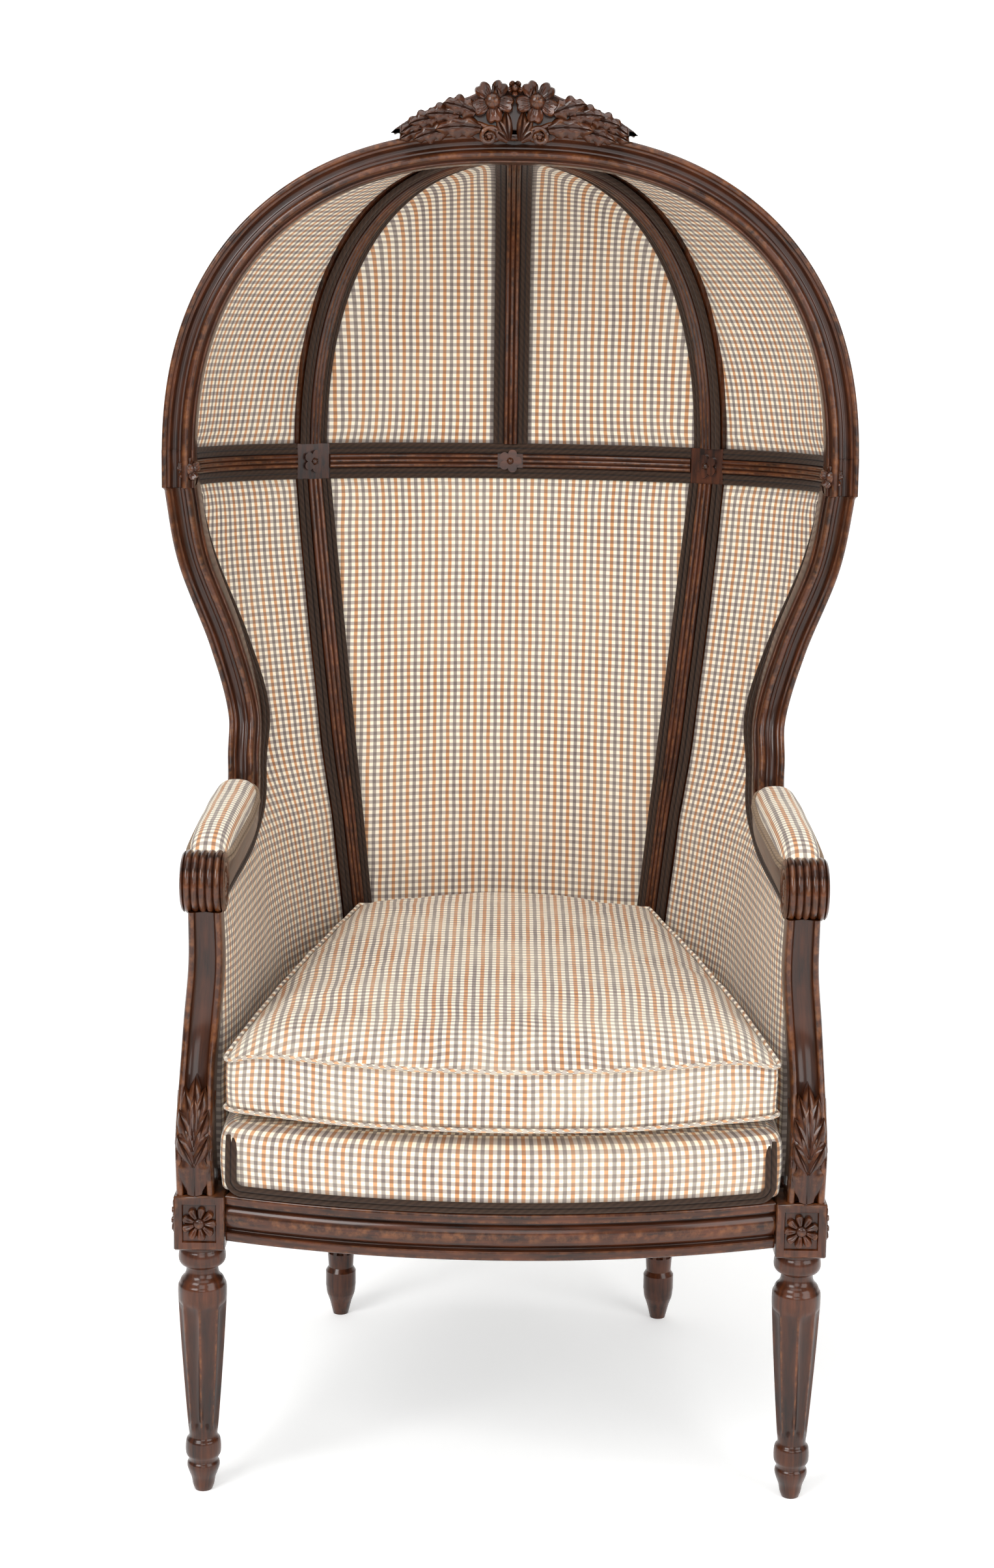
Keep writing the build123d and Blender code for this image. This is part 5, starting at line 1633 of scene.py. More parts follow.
def side_turns(height, grow):
    """Edges of a hood side panel: behind the arch and before the side rib."""
    return arch_side_turn(height, grow, arch_depth / 2 + seam), rib_side_turn(height, grow, rib_turn, -clear_member)


def back_turns(height, grow):
    """Edges of a hood back panel: behind the side rib and before the centre rib."""
    return rib_side_turn(height, grow, rib_turn, clear_member), rib_side_turn(height, grow, pi / 2, -clear_member)


def cover_turns(height, grow):
    """Edges of an outside hood cover: behind the arch and at the centre seam."""
    return arch_side_turn(height, grow, arch_depth / 2 + seam), rib_side_turn(height, grow, pi / 2, -seam)


# Seat


def respaced(points, count):
    """A line of points at even distances."""
    runs = run_lengths(points)
    total = runs[-1]
    fine, index = [], 0
    for step in range(count):
        target = total * step / (count - 1)
        while index < len(runs) - 2 and runs[index + 1] < target:
            index += 1
        part = (target - runs[index]) / max(runs[index + 1] - runs[index], 1e-9)
        part = max(0, min(1, part))
        near, far = Vector(points[index]), Vector(points[index + 1])
        fine.append(near + (far - near) * part)
    return fine


def seat_edges(height, half_front, front_place, bow, gap, back_gap, stops=(0.6, 1.0, 1.35, 1.6)):
    """Front, right and back edges of a seat piece, inside the upholstered walls."""
    front = []
    for index in range(41):
        x = half_front * (index / 20 - 1)
        front.append((x, front_place - bow * (1 - (x / half_front) ** 2), 0))
    reach_in = -panel_inner - gap
    right = [(half_front, front_place, 0)]
    if stops:
        right.append((half_front, front_y + block_size, 0))
    right += [(*wall_point(height, across, reach_in), 0) for across in stops]
    stile_in = -wood_half - gap
    near = member_point(height, 0, stile_in)
    far = member_point(height, 1, stile_in - back_gap)
    right.append((*near, 0))
    middle_y = wall_mid(height, 3)[1] + reach_in - back_gap
    back = [(-near[0], near[1], 0), (-far[0], far[1], 0)]
    for index in range(1, 20):
        share = index / 10 - 1
        back.append((far[0] * share, middle_y + (far[1] - middle_y) * share * share, 0))
    back += [(far[0], far[1], 0), (near[0], near[1], 0)]
    return front, right, back


def seat_grid(height, half_front, front_place, bow, gap, back_gap, corner, count, **how):
    """A net of places in plan that fills a seat piece's outline, its front corners rounded."""
    front, right, back = seat_edges(height, half_front, front_place, bow, gap, back_gap, **how)
    low, high, side = respaced(front, count), respaced(back, count), respaced(right, count)
    left = [Vector((-p.x, p.y, 0)) for p in side]
    net = []
    for row in range(count):
        t = row / (count - 1)
        line = []
        for column in range(count):
            s = column / (count - 1)
            edges = low[column] * (1 - t) + high[column] * t + left[row] * (1 - s) + side[row] * s
            corners = (low[0] * (1 - s) + low[-1] * s) * (1 - t) + (high[0] * (1 - s) + high[-1] * s) * t
            line.append(edges - corners)
        net.append(line)
    for row in net:
        for place in row:
            front_here = front_place - bow * (1 - min(abs(place.x) / half_front, 1) ** 2)
            in_x = corner - (half_front - abs(place.x))
            in_y = corner - (place.y - front_here)
            if in_x > 0 and in_y > 0:
                scale = max(in_x, in_y) / hypot(in_x, in_y)
                sign = 1 if place.x > 0 else -1
                place.x = sign * (half_front - corner + in_x * scale)
                place.y = front_here + corner - in_y * scale
    # Rounding only, but without it the cushion's edge moves by up to 0.8 mm
    centre = sum((row[0] + row[-1] for row in net), Vector()) / (2 * count)
    return [[centre + (place - centre) for place in row] for row in net]


def rim_of(count):
    """Row and column of each place round a net's edge, from the middle of its back."""
    last = count - 1
    middle = last // 2
    rim = [(last, column) for column in range(middle, last + 1)]
    rim += [(row, last) for row in range(last - 1, -1, -1)]
    rim += [(0, column) for column in range(last - 1, -1, -1)]
    rim += [(row, 0) for row in range(1, last + 1)]
    rim += [(last, column) for column in range(1, middle)]
    return rim


def pillow(net, low, high, crown, sides, bulge):
    """Crowned, boxed form over a net, with the row and column of each place round its rim."""
    shape, rim, last = Shape(), rim_of(len(net)), len(net) - 1
    for top in (True, False):
        rows = []
        for row, places in enumerate(net):
            line = []
            for column, place in enumerate(places):
                s, t = column / last * 2 - 1, row / last * 2 - 1
                dome = (1 - abs(s) ** 2.6) * (1 - abs(t) ** 2.6)
                line.append(Vector((place.x, place.y, high + crown * dome**0.7 if top else low)))
            rows.append(line)
        shape.grid(rows, [[(place.x * MM, place.y * MM) for place in line] for line in rows])
    around = [net[row][column] for row, column in rim]
    runs = run_lengths(around + around[:1])
    heart = sum(around, Vector()) / len(around)
    normals = []
    for index, here in enumerate(around):
        run = around[(index + 1) % len(around)] - around[index - 1]
        out = Vector((run.y, -run.x, 0)).normalized()
        normals.append(-out if out.dot(here - heart) < 0 else out)
    rows, maps = [], []
    for step in range(sides + 1):
        share = step / sides
        z = low + (high - low) * share
        push = bulge * sin(pi * share)
        rows.append([here + out * push + Vector((0, 0, z)) for here, out in zip(around, normals)])
        maps.append([((run - runs[-1] / 2) * MM, (z - low) * MM) for run in runs])
    shape.grid(rows, maps, closed=True)
    return shape, rim


cushion_low = deck_top + seam
cushion_front = front_rail_y + deck_setback
cushion_tilt = 4.0


def cushion_net():
    """The cushion's outline as a net."""
    bow = front_bow + cushion_overhang
    return seat_grid(
        cushion_low, cushion_half_width, cushion_front, bow, 8.0, cushion_back_gap, 14.0, 61, stops=()
    )


def deck_net():
    """The tight seat's outline as a net."""
    return seat_grid(deck_low, 318.0, cushion_front, front_bow, 4.0, 0.0, 7.0, 41)


cloth_frames = 20


def puff(thing, pressure, reach):
    """Blow a closed cloth form up by simulation, letting no point move further than its reach."""
    start = [vertex.co.copy() for vertex in thing.data.vertices]
    modifier = thing.modifiers.new("Cloth", "CLOTH")
    settings = modifier.settings
    settings.use_pressure = True
    settings.uniform_pressure_force = pressure
    settings.effector_weights.gravity = 0.0
    settings.mass = 0.4
    settings.tension_stiffness = 22.0
    settings.compression_stiffness = 22.0
    settings.shear_stiffness = 9.0
    settings.bending_stiffness = 0.8
    settings.quality = 5
    scene = bpy.context.scene
    for number in range(1, cloth_frames + 1):
        scene.frame_set(number)
    ready = thing.evaluated_get(bpy.context.evaluated_depsgraph_get())
    moved = [vertex.co.copy() for vertex in ready.data.vertices]
    thing.modifiers.remove(modifier)
    for vertex, near, far in zip(thing.data.vertices, start, moved):
        step = far - near
        if step.length > reach:
            step *= reach / step.length
        vertex.co = near + step
    scene.frame_set(1)


def places_of(thing):
    """The index of each vertex of a piece by its place."""
    return {tuple(round(value * 1e5) for value in vertex.co): vertex.index for vertex in thing.data.vertices}


def finish_levels(thing):
    """Smooth a piece with a subdivision surface, and apply it."""
    modifier = thing.modifiers.new("Subdivision", "SUBSURF")
    modifier.levels = modifier.render_levels = 1
    modifier.subdivision_type = "CATMULL_CLARK"
    ready = thing.evaluated_get(bpy.context.evaluated_depsgraph_get())
    mesh = bpy.data.meshes.new_from_object(ready)
    old = thing.data
    thing.modifiers.remove(modifier)
    thing.data = mesh
    bpy.data.meshes.remove(old)


def seat_cushion_piece(sizes):
    """The loose cushion, blown up by simulation, then wrinkled, with a piping on each edge."""
    top_edge, low_edge = cushion_low + 83.0, cushion_low + 9.0
    net = cushion_net()
    form, rim = pillow(net, low_edge, top_edge, sizes.cushion_crown / MM, 8, -1.0)
    cloth = finishes["check_cushion"]
    thing = piece("seat_cushion_form", form, cloth, "gingham", ["seat_cushion"], "cushion", sharp=80)
    index_of = places_of(thing)
    rim_index = []
    for z in (low_edge, top_edge):
        places = [net[row][column] for row, column in rim]
        rim_index.append([index_of[tuple(round(v * MM * 1e5) for v in (p.x, p.y, z))] for p in places])
    start = [vertex.co.copy() for vertex in thing.data.vertices]
    puff(thing, 4.0, 0.016)
    edges = set(rim_index[0] + rim_index[1])
    for vertex in thing.data.vertices:
        near = start[vertex.index]
        step = vertex.co - near
        flat = Vector((step.x, step.y, 0))
        if flat.length > 0.003:
            flat *= 0.003 / flat.length
        rise = max(-0.007, min(0.012, step.z))
        if vertex.index in edges:
            flat *= 0.4
            rise *= 0.35
        place = near + flat + Vector((0, 0, rise))
        x, y = place.x / MM, place.y / MM
        side = min(1, max(0, (cushion_half_width - 14 - abs(x)) / 60))
        front = min(1, max(0, (y + 352) / 60))
        inside = min(side, front, 1)
        if place.z > (top_edge - 4) * MM:
            wave = ripple(x * 0.45, y * 1.5, 0, 60, 3.4) + ripple(x, y * 1.2, 7, 38, 1.5)
            pucker = 0.9 * sin(x / 7.5 + 2.5 * sin(x / 61)) * exp(-max(y + 370 - 66 * (x / 316) ** 2, 0) / 20)
            place.z += (wave * (0.25 + 0.75 * inside) + pucker * 0.7) * MM * (0.35 if vertex.index in edges else 1)
        elif place.z > (low_edge + 3) * MM:
            level = (place.z - low_edge * MM) / ((top_edge - low_edge) * MM)
            swell = sin(pi * max(min(level, 1), 0))
            out = Vector((x, y + 60, 0)).normalized()
            wave = ripple(x * 1.3, y * 1.3, place.z / MM * 0.35, 26, 2.6) + ripple(x, y, place.z / MM, 55, 1.8) + 3.0
            pinch = 1.5 * sin(x / 5.2 + 3 * sin(x / 43)) * exp(-(1 - level) / 0.22)
            place += out * ((wave * swell**0.5 + pinch * swell) * MM)
        place.z = max(place.z, (cushion_low + 0.3) * MM)
        place.z = min(place.z, (cushion_low + cushion_height * 1.30) * MM)
        level = min((place.z / MM - cushion_low) / cushion_height, 1)
        high = min(max((place.z - low_edge * MM) / ((top_edge - low_edge) * MM), 0), 1)
        near_rim = 1 - min(side, 1) * front
        droop = 7.0 + 17.0 * min(abs(x) / cushion_half_width, 1) ** 5 * exp(-max(y - cushion_front, 0) / 150)
        place.z -= high * near_rim * droop * MM
        place.z += tan(radians(cushion_tilt) * level) * (y - cushion_front + front_bow + cushion_overhang) * MM
        vertex.co = place
    lines = []
    for row, out_shift in zip(rim_index, (1.8, 1.2)):
        line = [thing.data.vertices[index].co / MM for index in row]
        heart = sum(line, Vector()) / len(line)
        line = [place + Vector((place.x - heart.x, place.y - heart.y, 0)).normalized() * out_shift for place in line]
        lines.append(line + line[:1])
    lines[0] = [place + Vector((0, 0, -0.4)) for place in lines[0]]
    finish_levels(thing)
    cord_piece("seat_cushion_piping", lines, finishes["check_piping"], (), "cushion", 2.5, 10)


def seat_deck_piece():
    """Tight seat under the cushion, rolled in round its top edge."""
    form, _ = pillow(deck_net(), deck_low, deck_top - 7.0, 6.5, 16, 1.4)
    roll = 20.0
    thing = piece("tight_seat", form, finishes["check_seat"], "gingham", ["seat_deck"], sharp=80)
    for vertex in thing.data.vertices:
        x, y, z = vertex.co / MM
        if z < deck_top - 9 and z > deck_low + 2:
            out = Vector((x, y + 60, 0)).normalized()
            share = (z - deck_low) / (deck_top - deck_low)
            wave = ripple(x * 1.6, y * 1.6, z * 0.25, 30, 2.6) + 1.4 * sin(pi * share)
            vertex.co += out * (wave * sin(pi * min(share + 0.1, 1)) * MM)
        rise = min(max(z - (deck_top - 7.0 - roll), 0), roll)
        inset = (roll - sqrt(roll * roll - rise * rise)) / hypot(x, y + 20)
        vertex.co.x -= x * inset * MM
        vertex.co.y -= (y + 20) * inset * MM
    finish_levels(thing)


pad_depth_shares = [0.075, 0.14, 0.30, 0.46, 0.60, 0.655]
pad_widths = [38.0, 48.0, 52.0, 54.0, 51.0, 40.0]
pad_thick = [20.0, 31.0, 34.0, 34.0, 30.0, 20.0]
pad_round = 17.0


def arm_top(depth):
    """Upper face of the arm rail at a depth."""
    depths = [front_y + seat_depth * share for share in path_depth_shares[:8]]
    heights = [rail_top + body_height * share for share in path_height_shares[:8]]
    return blend(depth, depths, heights) + frame_half * 0.85


def pad_place(share):
    """Middle of the pad's foot, its width and its thickness."""
    depth = front_y + seat_depth * share
    near, far = frame_place(0).x, frame_place(3).x
    middle = Vector((near + (far - near) * max(share - 0.1, 0), depth, arm_top(depth) + 0.9))
    return middle, soft_blend(share, pad_depth_shares, pad_widths), soft_blend(share, pad_depth_shares, pad_thick)


def pad_half(share, width):
    """Half the pad's width, drawn in towards its rounded ends, and how full it is there."""
    gap = min(share - pad_depth_shares[0], pad_depth_shares[-1] - share) * seat_depth
    end = sqrt(max(1 - (1 - min(gap / pad_round, 1)) ** 2, 0))
    return width / 2 * (0.80 + 0.20 * end), end


def arm_pad_shape():
    """Stuffed arm pad with rounded ends."""
    low, high = pad_depth_shares[0], pad_depth_shares[-1]
    rows, maps, columns = [], [], 33
    for share in eased_steps(low, high, 44, 0.75):
        middle, width, thick = pad_place(share)
        wide, end = pad_half(share, width)
        tall = thick * (0.34 + 0.66 * end)
        row = []
        for column in range(columns):
            angle = pi * (column / (columns - 1)) - pi / 2
            s, c = sin(angle), max(cos(angle), 0)
            x = wide * (1 if s >= 0 else -1) * abs(s) ** 0.82
            z = tall * c**0.72
            rough = ripple(middle.x + x, middle.y, z, 32, 1.0) * c
            row.append(middle + Vector((x * (1 + 0.05 * c), 0, z + rough)))
        along = run_lengths(row)
        flat = [((place - along[-1] / 2) * MM, (share - low) * seat_depth * MM) for place in along]
        foot = [middle + Vector((wide * 0.9 * (1 - 2 * k / 8), 0, 0.2)) for k in range(1, 8)]
        rows.append(row + foot)
        maps.append(flat + [(0.1 + 0.005 * k, flat[0][1]) for k in range(8)])
    shape = Shape()
    shape.grid(rows, maps, closed=True, caps=True)
    return shape


def pad_cord_lines():
    """Double cord round the foot of the pad."""
    low, high = pad_depth_shares[0], pad_depth_shares[-1]
    lines = []
    for rise, out in ((2.7, 1.5), (9.0, 0.9)):
        side = []
        for share in spaced(low + 0.012, high - 0.012, 60):
            middle, width, _ = pad_place(share)
            side.append(middle + Vector((pad_half(share, width)[0] + out, 0, rise)))
        other = []
        for index, place in enumerate(side):
            middle = pad_place(low + 0.012 + (high - low - 0.024) * index / 59)[0]
            other.append(Vector((2 * middle.x - place.x, place.y, place.z)))
        start_middle, start_width, _ = pad_place(low)
        end_middle, end_width, _ = pad_place(high)
        ends = []
        for middle, width, sign, turns in (
            (start_middle, start_width, -1, (pi, 0)),
            (end_middle, end_width, 1, (0, pi)),
        ):
            places = [(width * 0.40 * cos(a), sign * (3.0 * sin(a) + out), rise) for a in spaced(*turns, 9)]
            ends.append([middle + Vector(place) for place in places])
        front, back = ends
        loop = front + side + back + other[::-1]
        lines.append(loop + loop[:1])
    return lines


# Crest

crest_low = ring_height + dome_rise - 3.0
crest_face_y = ring_axis_y - arch_depth / 2 - 9.0
crest_outline = [
    (0, 72), (7, 73), (14, 75), (27, 73), (42, 69), (54, 64), (68, 60), (80, 57), (92, 53), (104, 47), (116, 41),
    (127, 34), (136, 26), (140, 15), (132, 13), (112, 12), (92, 11), (74, 13), (52, 10), (40, 4),
    (30, 2), (20, 5), (12, 10),
    (5, 5), (0, 6),
]


def crest_point(x, z, rise=0.0):
    """A place on the crest, by its distance from the middle, its height and how far it stands out."""
    return Vector((x, crest_face_y - rise, crest_low + z))


def crest_ground():
    """Solid ground of the crest, with a rounded edge."""
    right = fluent([(float(x), float(z), 0.0) for x, z in crest_outline], 3)
    outline = [(x, z) for x, z, _ in right] + [(-x, z) for x, z, _ in right[-2:0:-1]]
    count = len(outline)
    shape = Shape()
    rows = []
    for inset, rise in ((4.5, -34.0), (4.5, -8.0), (5.7, -6.2), (7.9, -5.4)):
        row = []
        for index, (x, z) in enumerate(outline):
            before, after = outline[index - 1], outline[(index + 1) % count]
            run = Vector((after[0] - before[0], after[1] - before[1]))
            run.normalize()
            # Known fault: square to the edge would be x + run.y * inset, so both ends grow outwards a little
            row.append(crest_point(x - run.y * inset, z - run.x * inset, rise))
        rows.append(row)
    maps = [[(place.x * MM, place.z * MM) for place in row + row[:1]] for row in rows]
    shape.grid(rows, maps, closed=True, high=[[0.2] * count, [0.6] * count, [0.2] * count, [-0.7] * count])
    for row in (rows[0], rows[-1]):
        start = len(shape.verts)
        shape.verts += [tuple(value * MM for value in place) for place in row]
        # The flat faces get the hollow mark, so the walnut finish darkens the ground between the carvings with painted
        # shade and dust.
        shape.high += [-0.8] * count
        shape.faces.append(tuple(range(start, start + count)))
        shape.maps.append([(place.x * MM, place.z * MM) for place in row])
    return shape


# Leaves of one side of the crest: root across and up, turn in degrees, length, width, lobes, how far they stand out
crest_leaves = [
    (40.0, 22.0, 12.0, 54.0, 25.0, 3, 6.0),
    (78.0, 20.0, -2.0, 44.0, 22.0, 3, 5.5),
    (106.0, 21.0, -9.0, 34.0, 17.0, 2, 5.0),
    (46.0, 40.0, 30.0, 40.0, 24.0, 3, 8.0),
    (66.0, 37.0, 14.0, 40.0, 23.0, 3, 7.5),
    (88.0, 34.0, 2.0, 38.0, 21.0, 3, 7.0),
    (108.0, 30.0, -14.0, 32.0, 18.0, 2, 6.5),
    (20.0, 38.0, 100.0, 32.0, 17.0, 2, 4.0),
]


# The stem that runs outwards from each scroll of the crest: across and up
crest_stem = [(41.0, 28.5), (54.0, 30.0), (70.0, 29.0), (86.0, 27.0), (102.0, 23.0), (120.0, 18.0), (134.0, 14.0)]


def crest_axes(side, turn):
    """Directions along and across a leaf that is turned up from level, on one side of the crest."""
    up, right = Vector((0, 0, 1)), Vector((1, 0, 0))
    along = (right * side * cos(radians(turn)) + up * sin(radians(turn))).normalized()
    return along, (up * cos(radians(turn)) - right * side * sin(radians(turn))).normalized()


def crest_shape():
    """Carved crest: two flowers, a bud, trailing acanthus, two scrolls and a small palmette."""
    shape = crest_ground()
    up, right = Vector((0, 0, 1)), Vector((1, 0, 0))
    out = Vector((0, -1, 0))
    for side in (1, -1):
        for x, z, turn, length, width, lobes, rise in crest_leaves:
            place = bent_place(crest_point(x * side, z, rise - 7.0), *crest_axes(side, turn), out, -0.5 / length)
            shape.join(leaf(place, length * 1.04, width * 1.15, lobes=lobes, rise=8.0, curl=7.0, notch=0.36))
        heart = crest_point(26.5 * side, 54.0, 1.0)
        shape.join(rose(heart, right, up, 26.0, 5, 8.5, turn=radians(61 if side < 0 else 119), heart_radius=9.5))
        points, radii = [], []
        for step in range(40):
            share = step / 39
            angle = pi * 0.15 + share * 2 * pi * 1.35
            reach = 3.0 + 9.0 * share**1.2
            points.append(crest_point((30.0 + cos(angle) * reach) * side, 13.0 + sin(angle) * reach, 1.0))
            radii.append(2.2 + 1.3 * share)
        for x, z in crest_stem:
            points.append(crest_point(x * side, z - 1.0, 0.0))
            radii.append(max(radii[-1] - 0.25, 1.6))
        shape.join(tube(points, radii))
        shape.join(flower(crest_point(30.0 * side, 13.0, -2.0), right, up, 5.5, 6.0, 6, heart_share=0.6))
        for turn, length in ((38.0, 22.0), (62.0, 31.0), (84.0, 38.0)):
            place = flat_place(crest_point(7.0 * side, 8.0, -3.0), *crest_axes(side, turn), out)
            shape.join(leaf(place, length, 13.0, lobes=1, rise=6.0, curl=4.0, notch=0.15, rows=14, columns=9))
    shape.join(flower(crest_point(0, 69.5, -1.0), right, up, 9.5, 9.0, 5, turn=radians(90), heart_share=0.45, cup=0.4))
    return shape


# Under the seat

web_across_shares = [-0.62, -0.21, 0.21, 0.62]
web_along_shares = [0.17, 0.39, 0.61, 0.83]


def webbing_shape():
    """Two layers of woven webbing across the seat frame."""
    shape = Shape()

    def band(x0, x1, y0, y1, low, along_x):
        rows = []
        for row in range(34):
            share = row / 33
            cells = []
            for column in range(7):
                side = column / 6
                x = x0 + (x1 - x0) * (share if along_x else side)
                y = y0 + (y1 - y0) * (side if along_x else share)
                near = Vector((x, y, low + 1.7 + 0.12 * sin(column * pi / 3)))
                flat = (side * 0.05, (x - x0 if along_x else y - y0) * MM)
                cells.append((near, Vector((x, y, low + 0.3)), flat))
            rows.append(cells)
        shape.join(layered(rows))

    for share in web_across_shares:
        place = back_block_inner * share
        low = front_rail_y - front_bow * (1 - (place / front_block_inner) ** 2) + 13
        high = back_rail_face + back_bow_low * (1 - share * share) - 13
        band(place - 25, place + 25, low, high, rail_top, False)
    for share in web_along_shares:
        place = front_y + seat_depth * share
        half = wall_mid(rail_top, side_across_at(rail_top, place + 25))[0] - 1
        band(-half, half, place - 25, place + 25, rail_top + 2.0, True)
    return shape


def bottom_cloth_shape():
    """Dust cover tacked under the seat rails, sagging a little."""
    count, reach = 33, front_block_inner - 1
    rows = []
    for row in range(count):
        t = row / (count - 1)
        cells = []
        for column in range(count):
            s = column / (count - 1) * 2 - 1
            near_y = front_rail_y + rail_thick / 2 - front_bow * (1 - s * s) + 1
            far_y = back_rail_face - rail_thick / 2 - 1
            y = near_y + (far_y - near_y) * t
            narrow = reach
            if y > front_block_back:
                part = (y - front_block_back) / (back_block_front - front_block_back)
                narrow = leg_half_spread + (back_leg_half_spread - leg_half_spread) * min(part, 1) - 3
            if y > back_block_front - 1:
                narrow = back_block_inner - 1
            ease = max(0, min(1, (y - front_block_back) / 12))
            narrow = reach + (narrow - reach) * ease if y < front_block_back + 12 else narrow
            sag = -0.9 * (1 - s * s) * sin(pi * t) + ripple(s * 300, y, 0, 120, 0.25)
            near = Vector((s * narrow, y, rail_bottom - 0.15 + sag))
            cells.append((near, Vector((s * narrow, y, rail_bottom - 0.75 + sag)), (s * narrow * MM, y * MM)))
        rows.append(cells)
    return layered(rows)


# Add-on


def length(name, description, default):
    """A length that a user may change, in metres."""
    return bpy.props.FloatProperty(
        name=name, description=description, default=default, unit="LENGTH", precision=4
    )


def colour(name, description, *screen):
    """A colour that a user may change, from its screen values."""
    return bpy.props.FloatVectorProperty(
        name=name, description=description, subtype="COLOR", size=4, default=paint(*screen)
    )


class ChairSizes(bpy.types.PropertyGroup):
    """Sizes that a user may change."""

    check_pitch: length("Check pitch", "Width of one light and one dark stripe", 0.0092)
    cord_radius: length("Cord radius", "Half the thickness of each trimming cord", 0.0034)
    cushion_crown: length("Cushion crown", "Rise of the cushion's top over its edge", 0.015)
    lens: bpy.props.FloatProperty(name="Lens", description="Focal length in millimetres", default=58.0)


class ChairColours(bpy.types.PropertyGroup):
    """Colours that a user may change."""

    wood_dark: colour("Dark wood", "Darkest streaks of the walnut", 26, 11, 5)
    wood_middle: colour("Walnut", "Body colour of the walnut", 86, 43, 20)
    # Colour of the painted highlight on raised edges, together with their wear.
    wood_worn_and_highlit: colour("Worn and highlit wood", "Rubbed edges of the walnut and their painted highlight", 148, 92, 50)
    check_ground: colour("Check ground", "Undyed yarn", 248, 238, 216)
    check_first: colour("First warp", "Warm stripe of the check", 208, 146, 92)
    check_second: colour("Second warp", "Grey stripe of the check", 146, 138, 144)
    check_weft: colour("Weft", "Stripe across the cloth", 174, 169, 178)
    cord_dark: colour("Dark cord", "Shaded threads of the cord", 34, 23, 17)
    cord_light: colour("Light cord", "Lit threads of the cord", 74, 54, 41)
    cover_dark: colour("Dark cover", "Shaded threads of the outside cloth", 112, 101, 90)
    cover_light: colour("Light cover", "Lit threads of the outside cloth", 150, 138, 124)


def chair_sizes():
    return bpy.context.scene.chair_sizes


def chair_colours():
    return bpy.context.scene.chair_colours


class CHAIR_OT_finishes(bpy.types.Operator):
    """Make the walnut, cotton, cord and cloth finishes"""

    bl_idname = "chair.finishes"
    bl_label = "Finishes"

    def execute(self, context):
        colours, sizes = chair_colours(), chair_sizes()
        groups.update(wood=make_wood_group(), check=make_check_group(), cord=make_cord_group())
        groups.update(plain=make_plain_group(), cord_tree=make_cord_tree())
        wood = {"Dark": colours.wood_dark, "Middle": colours.wood_middle, "Light": colours.wood_worn_and_highlit}
        # walnut_carved reads the raised mark: painted highlight with wear on raised parts, painted shade with dust in
        # hollows.
        for name, place, turned_by, raised in (
            ("walnut_carved", "UV", None, True),
            ("walnut_upright", "Object", (pi / 2, 0, 0), False),
            ("walnut_across", "Object", (0, 0, pi / 2), False),
        ):
            look = {"bump": 0.25, "depth": 0.0005, "coat": 0.5, "gleam": 0.22, "raised": raised, "turned": turned_by}
            finishes[name] = finish_material(name, groups["wood"], {**wood, "Wear and highlight": 0.5}, place, **look)
        beech = {"Dark": paint(120, 84, 52), "Middle": paint(168, 128, 86), "Light": paint(190, 150, 108), "Wear and highlight": 0.0}
        finishes["beech"] = finish_material("beech", groups["wood"], beech, "Object", turned=(0, 0, pi / 2))
        check = {
            "Pitch": sizes.check_pitch,
            "Ground": colours.check_ground,
            "First warp": colours.check_first,
            "Second warp": colours.check_second,
            "Weft": colours.check_weft,
        }
        for name, fade, dirt, place in (
            ("check_panel", 0.08, 0.10, "UV"),
            ("check_cushion", 0.22, 0.12, "UV"),
            ("check_seat", 0.15, 0.15, "UV"),
            ("check_pad", 0.22, 0.2, "UV"),
            ("check_piping", 0.25, 0.3, "bias"),
        ):
            values = {**check, "Fade": fade, "Dirt": dirt}
            finishes[name] = finish_material(name, groups["check"], values, place, bump=0.5, depth=0.0003, sheen=0.15)
        cord = {"Dark": colours.cord_dark, "Light": colours.cord_light}
        pad_cord = {"Dark": paint(104, 86, 68), "Light": paint(164, 140, 114)}
        cover = {"Dark": colours.cover_dark, "Light": colours.cover_light}
        web = {"Dark": paint(128, 100, 66), "Light": paint(178, 150, 106), "Thread": 0.0024}
        dust = {"Dark": paint(20, 20, 22), "Light": paint(44, 43, 44)}
        for key, name, group, values, place, bump, depth, sheen in (
            ("cord", "trimming_cord", "cord", cord, "twist", 0.12, 0.0005, 0.1),
            ("pad_cord", "pad_cord", "cord", pad_cord, "twist", 0.12, 0.0005, 0.1),
            ("cover", "outside_cloth", "plain", cover, "UV", 0.5, 0.0004, 0.15),
            ("webbing", "jute_webbing", "plain", web, "UV", 0.8, 0.0006, 0.0),
            ("dust", "dust_cloth", "plain", dust, "UV", 0.4, 0.0003, 0.0),
        ):
            finishes[key] = finish_material(name, groups[group], values, place, bump=bump, depth=depth, sheen=sheen)
        return {"FINISHED"}


class CHAIR_OT_plain_wood(bpy.types.Operator):
    """Finish the wooden members that keep their solids"""

    bl_idname = "chair.plain_wood"
    bl_label = "Plain wood"

    def execute(self, context):
        dress(both("back_post"), finishes["walnut_upright"])
        dress(both("hood_rib") + ["hood_centre_rib"], finishes["walnut_upright"])
        dress(both("ring_corner"), finishes["walnut_upright"])
        dress(both("ring_rail") + ["ring_back_rail"], finishes["walnut_across"])
        dress(["corner_blocks"], finishes["beech"])
        return {"FINISHED"}


